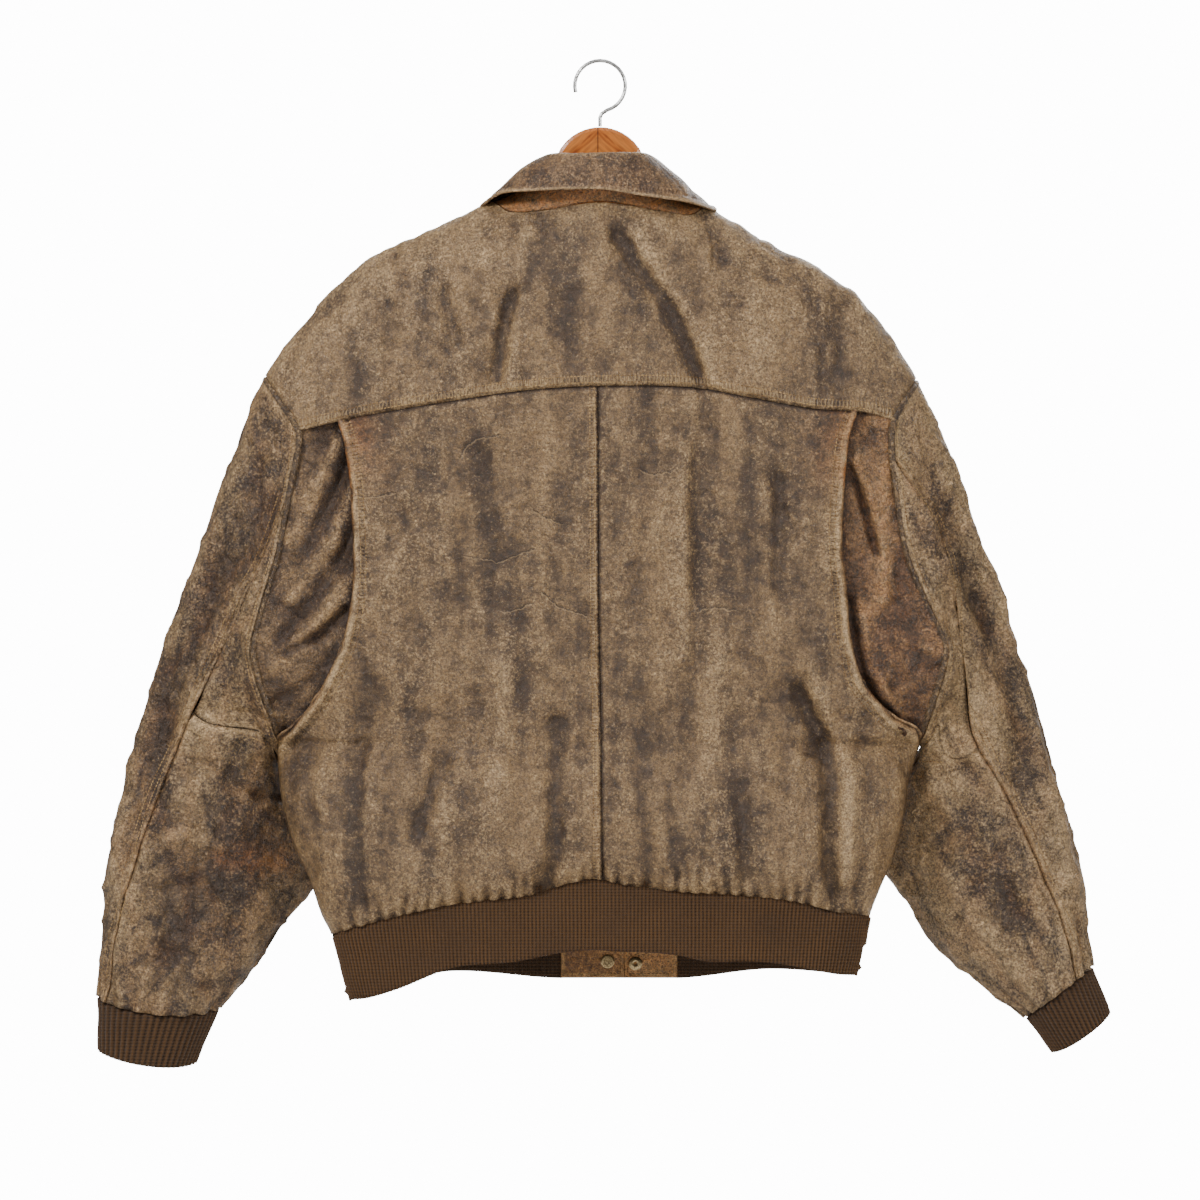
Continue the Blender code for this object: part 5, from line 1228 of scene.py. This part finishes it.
# smaller ones on the back of each sleeve, measured on the photograph
SLEEVE_CREASES = {
    "left": [
        (px((253, 793), (268, 796), (282, 797)), 0.0040, -0.0030),
        (px((262, 450), (230, 520), (205, 590)), 0.0080, -0.0030),
        (px((240, 470), (212, 540), (180, 640)), 0.0100, 0.0026),
        (px((225, 560), (190, 660), (160, 740)), 0.0070, -0.0028),
        (px((250, 690), (225, 740), (215, 800)), 0.0080, 0.0026),
        (px((165, 690), (140, 780), (124, 850)), 0.0080, -0.0026),
        (px((190, 760), (230, 770), (262, 800)), 0.0060, -0.0026),
        (px((150, 850), (185, 835), (220, 850)), 0.0060, 0.0026),
        (px((140, 900), (180, 880), (240, 900)), 0.0060, -0.0028),
        (px((200, 860), (190, 930), (196, 990)), 0.0070, -0.0024),
        (px((130, 940), (150, 930), (200, 950)), 0.0050, 0.0022),
    ],
    "right": [
        (px((957, 642), (953, 682), (944, 719), (930, 744)), 0.0060, 0.0040),
        (px((945, 640), (938, 690), (928, 730)), 0.0060, -0.0035),
        (px((935, 470), (960, 540), (990, 620)), 0.0080, -0.0030),
        (px((950, 450), (985, 540), (1015, 640)), 0.0100, 0.0026),
        (px((975, 600), (1010, 700), (1040, 780)), 0.0080, -0.0030),
        (px((930, 560), (950, 600), (985, 640)), 0.0060, 0.0024),
        (px((960, 760), (985, 790), (1000, 850)), 0.0070, -0.0028),
        (px((935, 790), (960, 830), (985, 900)), 0.0070, 0.0028),
        (px((1040, 700), (1062, 780), (1075, 860)), 0.0070, -0.0026),
        (px((930, 850), (965, 880), (1010, 930)), 0.0060, -0.0030),
        (px((980, 930), (1010, 960), (1035, 990)), 0.0060, 0.0026),
        (px((1050, 880), (1070, 900), (1085, 940)), 0.0050, -0.0022),
    ],
}
SLEEVE_SEAM_LINE = {
    "left": px((286, 500), (264, 560), (247, 591), (231, 627), (213, 666), (194, 707), (182, 740), (162, 782),
               (147, 821), (131, 878), (129, 900), (117, 938), (107, 994)),
    "right": px((895, 463), (913, 490), (933, 522), (938, 536), (950, 575), (954, 640), (956, 692), (975, 731),
                (993, 770), (1012, 805), (1026, 835), (1042, 878), (1062, 921), (1072, 948), (1070, 978)),
}


def sleeve_relief(side, t, turn, spot, outward):
    half_turns = (turn / math.pi + 1) % 2 - 1
    x, z = spot[:, 0], spot[:, 2]
    behind = smooth_step((0.2 - outward[:, 1]) / 0.5)  # 1 on the side that the photograph shows
    height = sum(depth * ridge(beside(t, half_turns, line)[1], 0, width) for line, width, depth in SLEEVE_FOLDS)
    lean = -22 if side == "left" else 22
    height = height + soft_relief(spot, 1.2, 61 if side == "left" else 83, lean)
    height += crumpled(spot, 0.65, 71, lean)
    height += fold_height(x, z, SLEEVE_CREASES[side]) * behind
    height *= smooth_step(t / 0.10) * smooth_step((1 - t) / 0.06)
    wave = np.cos(turn * 16 + 3 * hills(spot, (0.05, 0.05, 0.05), 77))
    height += 0.0022 * wave * np.exp((t - 1) * 18)
    seam = np.abs(turn - math.pi * back_seam[side](t)) * 0.11
    # the seam's edge painted lighter, as rubbing and painted highlight
    wear = (0.26 if side == "left" else 0.46) + 0.7 * ridge(seam, 0.0018, 0.0022) + 0.1 * ridge(seam, 0.008, 0.006)
    rust = 0.55 * ridge(seam, 0.0016, 0.0018) + 0.14 * creases(spot, (0.04, 0.05, 0.07), 91, 0, 0.2)
    if side == "left":
        rust = rust + 0.45 * behind * ridge(beside(x, z, px((223, 858), (284, 864)))[1], 0, 0.012)
    # darker towards the cuff, with painted shade in the seam's groove, at the armhole seam and along crease lines
    dirt = 0.05 + 0.06 * smooth_step((t - 0.2) / 0.8) + 0.5 * ridge(seam, 0, 0.0009)
    dirt = dirt + 0.25 * np.exp(-((t / 0.012) ** 2)) + 0.5 * creases(spot, (0.030, 0.03, 0.060), 77, lean, 0.10)
    height += 0.0010 * ridge(seam, 0.0030, 0.0030) - 0.0014 * ridge(seam, 0, 0.0012)
    height *= smooth_step(t / 0.012)
    # a lighter band just below the armhole seam, as rubbing and painted highlight
    wear = wear + 0.35 * np.exp(-(((t - 0.018) / 0.012) ** 2))
    return height, marks_of(height * 0.45, x, wear, dirt, rust, crumple=1.0)


# %% Sleeve pieces
def lay_sleeve(side):
    sign = -1 if side == "left" else 1
    start, end = 0.0006, 0.9985
    start_cross, dip = CROSS_SEAM[side]
    gap = 0.0020

    def seam_turn(t):
        return math.pi * back_seam[side](t)

    def cross(u):
        return start_cross - dip * np.sin(math.pi * u) ** 1.6

    def across(t, u):
        low = seam_turn(t) + gap
        return low + (math.pi * (2 + FRONT_SEAM) - gap - low) * u

    def top_place(u, v):
        t = start + (end - start) * v
        low = math.pi * FRONT_SEAM + gap
        return t, low + (seam_turn(t) - gap - low) * u

    def under_place(u, v):
        low = cross(u) + 0.0001
        t = low + (end - low) * v
        return t, across(t, u)

    def underarm_place(u, v):
        t = start + (cross(u) - 0.0001 - start) * v
        return t, across(t, u)

    cuts = [("top_sleeve", "sleeve_top", top_place, 92, 216), ("under_sleeve", "sleeve_under", under_place, 84, 128),
            ("underarm_leather", "underarm", underarm_place, 84, 56)]
    for name, node, spread, columns, rows in cuts:

        def place(u, v, spread=spread):
            return sleeve_point(side, *spread(u, v))

        def relief(u, v, spot, outward, spread=spread, name=name):
            t, turn = spread(u, v)
            height, marks = sleeve_relief(side, t, turn, spot, outward)
            if name != "top_sleeve":
                to_cross = v if name == "under_sleeve" else 1 - v
                height = height * (0.3 + 0.7 * smooth_step(to_cross / 0.06))
                # beside the cross seam a lighter band, as rubbing and painted highlight, and painted shade at the
                # seam itself
                marks["wear"] += 0.4 * ridge(to_cross, 0.015, 0.015)
                marks["dirt"] += 0.3 * ridge(to_cross, 0.0, 0.012)
            return height, marks

        lay_cloth(f"{name}_{side}", f"{node}_{side}", jacket_leather, place, columns, rows,
                  (sign * 0.36, 0.02, -0.66), relief)


for side in ("left", "right"):
    lay_sleeve(side)


# %% Armhole edges
def add_armhole_edge(side):
    """The two turned-in edges of the leather, which lie together just inside the armhole's seam."""
    turns = np.linspace(0, math.tau, 97)[:-1]
    ring = sleeve_point(side, 0 * turns + 0.001, turns)
    inward = ring.mean(axis=0) - ring
    ring = ring + 0.0032 * inward / np.linalg.norm(inward, axis=1, keepdims=True)
    ring[:, 0] += 0.0014 if side == "left" else -0.0014
    curve = bpy.data.curves.new(f"armhole_edges_{side}", "CURVE")
    curve.dimensions = "3D"
    curve.bevel_depth = 0.0034
    curve.bevel_resolution = 2
    spline = curve.splines.new("POLY")
    spline.points.add(len(ring) - 1)
    for point, place in zip(spline.points, ring):
        point.co = (*place, 1)
    spline.use_cyclic_u = True
    curve.materials.append(jacket_leather)
    piece = bpy.data.objects.new(curve.name, curve)
    bpy.context.collection.objects.link(piece)
    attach(piece, "jacket")


for side in ("left", "right"):
    add_armhole_edge(side)
print("sleeves laid")

# %% [markdown]
# ## The knit cuffs and the waistband
# The ribs are made as real waves round the band: 44 round each cuff, and 265 in the waistband, from tab to tab.
# The band hangs a little below the leather, and its lower edge waves as worn rib does.


# %% Cuffs
def even_turns(outer, inner, depth):
    """Turns that step evenly round an oval ring, as a function of u."""
    turns = np.linspace(0, math.tau, 721)
    ring = ring_point(outer, inner, depth, 0, turns)
    share = np.concatenate([[0], np.cumsum(np.linalg.norm(np.diff(ring, axis=0), axis=1))])
    return lambda u: np.interp(u, share / share[-1], turns)


def cuff_place(side):
    one = np.array([1.0])
    edges = [(sleeve_outer[side](one)[0], np.array(CUFF_OUTER[side])),
             (sleeve_inner[side](one)[0], np.array(CUFF_INNER[side]))]
    turn_of = even_turns(edges[0][0], edges[1][0], CUFF_DEPTH[0])

    def place(u, v):
        v = -0.10 + 1.10 * v
        down = v[:, None]
        outer, inner = [top * (1 - down) + end * down for top, end in edges]
        depth = CUFF_DEPTH[0] * (1 - v) + CUFF_DEPTH[1] * v
        lean = CUFF_LEAN[side][0] * (1 - v) + CUFF_LEAN[side][1] * v
        return ring_point(outer, inner, depth, lean, turn_of(u))

    return place


def rib_relief(ribs, soil):
    def relief(u, v, spot, outward):
        wave = np.cos(math.tau * ribs * u + 0.8 * hills(spot, (0.03, 0.03, 0.05), 15))
        height = 0.0007 * wave + 0.0012 * hills(spot, (0.03, 0.03, 0.03), 17)
        height -= 0.0042 * smooth_step((0.12 - v) / 0.05)
        # soil, with painted shade at the top where the knit runs under the leather; the rib value paints shade
        # between the ribs
        soil_and_painted_shade = soil + 0.5 * np.exp(-v / 0.10) + 0.2 * hills(spot, (0.04, 0.04, 0.04), 19)
        marks = {"rib": 0.5 + 0.5 * wave, "wear": soil_and_painted_shade}
        return height, marks

    return relief


for side in ("left", "right"):
    lay_cloth(f"cuff_knit_{side}", f"cuff_{side}", knit, cuff_place(side), 264, 26,
              ((-1 if side == "left" else 1) * 0.42, 0.03, -0.90), rib_relief(44, 0.75), KNIT, closed=True)


# %% Waistband
def band_place():
    """The knit band from the left tab round the back to the right tab, at an even pace."""
    ends = {side: (SIDE_LINE[side][-1][0] + BAND_END[side][0]) / 2 for side in BAND_END}
    taper = {side: (SIDE_LINE[side][-1][0] - BAND_END[side][0]) / 2 for side in BAND_END}

    def point(turn, v):
        across = np.cos(turn)
        x = np.where(across > 0, ends["right"], -ends["left"]) * across
        shift = np.where(across > 0, taper["right"], taper["left"]) * np.abs(across) ** 3
        z = []
        for face in (BACK, FRONT):
            top, low = hem_z[face](x + shift) + LAP, band_bottom_z[face](x - shift)
            z.append(top * (1 - v) + low * v)
        x = x + shift * (1 - 2 * v)
        return np.where((np.sin(turn) > 0)[:, None], on_body(x, z[0], BACK), on_body(x, z[1], FRONT))

    def turn_at(x):
        return math.tau - math.acos(x / (ends["right"] if x > 0 else -ends["left"]))

    turns = np.linspace(turn_at(TAB_X["left"][0] - SEAM), turn_at(TAB_X["right"][1] + SEAM) - math.tau, 1600)
    steps = np.linalg.norm(np.diff(point(turns, np.full(1600, 0.5)), axis=0), axis=1)
    share = np.concatenate([[0], np.cumsum(steps)]) / steps.sum()
    return lambda u, v: point(np.interp(u, share, turns), v)


band = lay_cloth("waistband_knit", "hem_rib", knit, band_place(), 265 * 4, 16, (0, 0.01, -0.80),
                 rib_relief(265, 0.10), KNIT)

# %% [markdown]
# ## The waistband's leather ends
# Two leather tabs close the waistband at the foot of the zip. Each is a folded piece of leather stitched round its
# edge, so it gets a soft pillow between its edges and rows of stitches, and carries one half of a snap.


# %% Tabs
TAB_LEATHER = 0.0034
TAB_TOP, TAB_BOTTOM = ZIP_FOOT - 0.0004, BAND_BOTTOM[FRONT][3][1]
for side in ("left", "right"):

    def tab_place(u, v, side=side):
        low_x, high_x = TAB_X[side]
        return on_body(low_x + (high_x - low_x) * u, TAB_BOTTOM + (TAB_TOP - TAB_BOTTOM) * v, FRONT)

    def tab_relief(u, v, spot, outward, side=side):
        lift, rubbed, bare = (-0.0005, 0.2, 0.25) if side == "left" else (0.0004, 0.55, 0.6)
        height = lift - 0.0009 * (1 - edge_fade(u, v, 0.05)) + 0.0003 * hills(spot, (0.02, 0.02, 0.02), 23)
        edge = 1 - edge_fade(u, v, 0.10)
        return height, marks_of(height * 0, u, rubbed + 0.5 * edge, 0.0, bare)

    lay_cloth(f"tab_leather_{side}", f"hem_tab_{side}", tab_leather, tab_place, 36, 42,
              (0, 0, -0.80), tab_relief, TAB_LEATHER)
print("tabs laid")

# %% [markdown]
# ## The collar
# The collar is folded: the stand rises from the neck seam, and the leaf falls over it to lie on the shoulders and
# the fronts. Its leather is the most worn of all, crazed right through, so it gets the strongest wear.

# %% Collar
COLLAR_FOLD = [(-0.012, 0.080, -0.206), (-0.035, 0.072, -0.180), (-0.056, 0.045, -0.136), (-0.061, 0.012, -0.097),
               (-0.050, -0.018, -0.0845), (-0.022, -0.036, -0.0835), (0.0, -0.040, -0.083), (0.020, -0.036, -0.0825),
               (0.044, -0.018, -0.0840), (0.059, 0.012, -0.099), (0.056, 0.045, -0.139), (0.035, 0.072, -0.182),
               (0.012, 0.080, -0.206)]
COLLAR_EDGE_BACK = [(-0.1115, -0.004, -0.1335), (-0.093, -0.030, -0.1215), (-0.065, -0.043, -0.1195),
                    (0.0, -0.050, -0.1180), (0.037, -0.048, -0.1235), (0.060, -0.044, -0.1265),
                    (0.084, -0.034, -0.1300), (0.1075, -0.004, -0.1375)]
COLLAR_EDGE_SIDE = [(0.1085, 0.008), (0.1085, 0.022)]
COLLAR_EDGE_FRONT = [(0.074, -0.268), (0.094, -0.205), (0.107, -0.168)]
EDGE_LIFT = 0.0060


def laid_on_front(points):
    x, z = np.array(points, float).T
    return [tuple(place) for place in on_body(x, z, FRONT, EDGE_LIFT)]


def laid_on_shoulder(points):
    x, run = np.array(points, float).T
    steps = run[:, None] + np.array([0, -0.001, 0.001])
    z = roof_z(x[:, None], steps)
    y = torso_y(x[:, None] + 0 * z, z, FRONT)
    away = np.stack([z[:, 1] - z[:, 2], y[:, 2] - y[:, 1]], -1)
    away = EDGE_LIFT * away / np.linalg.norm(away, axis=1, keepdims=True)
    return [tuple(place) for place in np.stack([x, y[:, 0] + away[:, 0], z[:, 0] + away[:, 1]], -1)]


def shifted(curve, outward, upward):
    """A curve of the collar moved away from the neck's middle, and up."""

    def point(p):
        place = curve(p)
        away = place[:, :2] - np.array([0, 0.025])
        away /= np.linalg.norm(away, axis=1, keepdims=True)
        return place + np.concatenate([away * outward, np.full((len(place), 1), upward)], 1)

    return point


collar_fold = smooth_path(COLLAR_FOLD)
collar_edge = smooth_path(
    laid_on_front(mirrored(COLLAR_EDGE_FRONT)) + laid_on_shoulder(mirrored(COLLAR_EDGE_SIDE[::-1]))
    + COLLAR_EDGE_BACK + laid_on_shoulder(COLLAR_EDGE_SIDE) + laid_on_front(COLLAR_EDGE_FRONT[::-1])
)
leaf = skin([shifted(collar_fold, -0.0030, -0.0060), shifted(collar_fold, -0.0015, -0.0008),
             shifted(collar_fold, 0.0030, -0.0020),
             lambda p: (shifted(collar_fold, 0.004, -0.004)(p) + collar_edge(p)) / 2 + np.array([0, 0, 0.005]),
             collar_edge], [0, 0.10, 0.20, 0.60, 1])


def leaf_relief(u, v, spot, outward):
    height = soft_relief(spot, 0.7, 101) * smooth_step((1 - v) / 0.12) * smooth_step(v / 0.3)
    height += 0.0008 * ridge(v, 0.95, 0.03) - 0.0005 * ridge(v, 0.88, 0.02)
    wear = 0.22 + 0.6 * ridge(v, 0.985, 0.02) + 0.25 * ridge(v, 0.15, 0.10)
    return height, marks_of(height, u, wear, 0.22, 0.15, None, 0.5 * ridge(v, 0.88, 0.03), spot[:, 0])


INSIDE_COLLAR = (0, 0.02, -0.16)
lay_cloth("collar_leaf_leather", "collar_leaf", jacket_leather, leaf, 220, 40, INSIDE_COLLAR,
          leaf_relief)

neck = [(-x, run) for x, run in NECK_FRONT + NECK_HALF[:1]] + [(-x, run) for x, run in NECK_HALF[1:]]
neck += [(0.0, NECK_BACK)] + NECK_HALF[::-1] + NECK_FRONT[::-1]
neck_x, neck_run = np.array(neck).T
seat_z = roof_z(neck_x, neck_run)
seat_y = np.where(neck_run < 0, torso_y(neck_x, seat_z, BACK), torso_y(neck_x, seat_z, FRONT))
seat = smooth_path(np.stack([neck_x, seat_y, seat_z], -1))
stand = skin([shifted(seat, -0.0020, 0.0008), shifted(collar_fold, -0.0040, -0.0110)], [0, 1])


def stand_relief(u, v, spot, outward):
    height = soft_relief(spot, 0.4, 107) * smooth_step(np.minimum(v, 1 - v) / 0.2)
    return height, marks_of(height, u, 0.30, 0.0, 0.75)


lay_cloth("collar_stand_leather", "collar_stand", jacket_leather, stand, 160, 14, INSIDE_COLLAR,
          stand_relief)
print("collar laid")

# %% [markdown]
# ## Stitches
# Every stitch is a small bead of thread lying along its seam. A row follows a line measured on the photograph, and
# each bead is dropped straight onto the leather by casting a ray at it, which also gives the way it should face.

# %% Rows of stitches
STITCH_PITCH = 0.0033
bpy.context.view_layer.update()
graph = bpy.context.evaluated_depsgraph_get()
grounds = {name: BVHTree.FromObject(piece, graph) for name, piece in sheets.items()}


def beside_line(points, off):
    """The same line moved off to its right."""
    points = np.array(points, float)
    run = np.gradient(points, axis=0)
    run /= np.linalg.norm(run, axis=1, keepdims=True)
    return points + np.stack([run[:, 1], -run[:, 0]], -1) * off


def sew(work, points, off=0.0, face=BACK, only=None):
    """Sews one row of stitches along a line of (x, z), onto the back or the front."""
    line = smooth_path(beside_line(points, off))
    many = line(np.linspace(0, 1, 200))
    length = np.linalg.norm(np.diff(many, axis=0), axis=1).sum()
    count = int(length / STITCH_PITCH)
    made = 0
    for at in (np.arange(count) + 0.5) / count:
        ends = line(np.array([at - 0.002, at, at + 0.002]).clip(0, 1))
        start = Vector((ends[1][0], face * 0.4, ends[1][1]))
        looked_at = [tree for name, tree in grounds.items() if only is None or only in name]
        hits = [tree.ray_cast(start, Vector((0, -face, 0))) for tree in looked_at]
        hits = [hit for hit in hits if hit[0] is not None]
        if not hits:
            continue
        where, up = min(hits, key=lambda hit: hit[3])[:2]
        along = Vector((ends[2][0] - ends[0][0], 0, ends[2][1] - ends[0][1]))
        along = (along - up * along.dot(up)).normalized()
        turned = Matrix((along, up.cross(along), up)).transposed().to_4x4()
        beads = bmesh.ops.create_uvsphere(work, u_segments=5, v_segments=4, radius=1.0)
        bmesh.ops.rotate(work, verts=beads["verts"], cent=(0, 0, 0), matrix=Matrix.Rotation(math.pi / 2, 3, "Y"))
        bmesh.ops.scale(work, verts=beads["verts"], vec=(0.00130, 0.00052, 0.00046))
        bmesh.ops.transform(work, verts=beads["verts"], matrix=Matrix.Translation(where + up * 0.0001) @ turned)
        made += 1
    return made


ROWS = {
    "yoke": [(YOKE_SEAM[1:-1], -0.0035, "yoke"), (YOKE_SEAM[1:-1], -0.0095, "yoke")],
    "centre": [(CENTRE_LINE[::-1], 0.0035, "panel"), (CENTRE_LINE[::-1], 0.0075, "panel")],
    "left_panel": [(PANEL_EDGE["left"][2:], 0.0075, "panel"), (PANEL_EDGE["left"][2:], 0.0125, "panel")],
    "right_panel": [(PANEL_EDGE["right"][2:], -0.0075, "panel"), (PANEL_EDGE["right"][2:], -0.0125, "panel")],
    "left_sleeve": [(SLEEVE_SEAM_LINE["left"], 0.0035, "sleeve"), (SLEEVE_SEAM_LINE["left"], 0.0080, "sleeve")],
    "right_sleeve": [(SLEEVE_SEAM_LINE["right"], -0.0035, "sleeve"), (SLEEVE_SEAM_LINE["right"], -0.0080, "sleeve")],
    "left_cross": [(px((213, 721), (239, 729), (270, 742)), 0.0030, "sleeve")],
    "right_cross": [(px((918, 758), (943, 759)), 0.0030, "sleeve")],
    "left_armhole": [(ARMHOLE["left"][2:], 0.0045, None)],
    "right_armhole": [(ARMHOLE["right"][2:], -0.0045, None)],
}
seams = []
for name, rows in ROWS.items():
    work = bmesh.new()
    beads = sum(sew(work, points, off, BACK, only) for points, off, only in rows)
    for face in work.faces:
        face.smooth = True
    seams.append(finish_piece(f"stitches_{name}", work, thread))
    print("stitches", name, beads)

# %% Stitches of the front and the tabs
zip_edges = [[(zip_x(z) + sign * 0.010, z) for z in np.linspace(ZIP_FOOT + 0.004, -0.262, 12)] for sign in (-1, 1)]
tab_runs = [np.linspace(left_end + 0.004, right_end - 0.004, 6) for left_end, right_end in TAB_X.values()]
tab_edges = [[(x, TAB_BOTTOM + 0.004) for x in run] for run in tab_runs]
tab_edges += [[(TAB_X[side][end] + inset, z) for z in np.linspace(TAB_BOTTOM + 0.004, TAB_TOP - 0.004, 6)]
              for side in TAB_X for end, inset in ((0, 0.004), (1, -0.004))]
work = bmesh.new()
front_beads = sum(sew(work, points, 0.0, FRONT, "front_leather") for points in zip_edges)
front_beads += sum(sew(work, points, 0.0, FRONT, "tab") for points in tab_edges)
front_beads += sum(sew(work, points, 0.0, BACK, "tab") for points in tab_edges)
for face in work.faces:
    face.smooth = True
seams.append(finish_piece("stitches_front", work, thread))
print("stitches on the front:", front_beads)

# %% [markdown]


# %% [markdown]
# The floor lies below the cuffs, so it catches only a faint shadow.

# %% Floor and finish
FLOOR_Z = -1.05
work = bmesh.new()
bmesh.ops.create_grid(work, x_segments=1, y_segments=1, size=4)
bmesh.ops.translate(work, verts=work.verts, vec=(0, 0, FLOOR_Z))
mesh = bpy.data.meshes.new("floor")
work.to_mesh(mesh)
work.free()
floor_paint, _, _ = new_material("pale_floor", {"Base Color": colour("#e8e6e2"), "Roughness": 0.9})
mesh.materials.append(floor_paint)
floor = bpy.data.objects.new("floor", mesh)
bpy.context.collection.objects.link(floor)
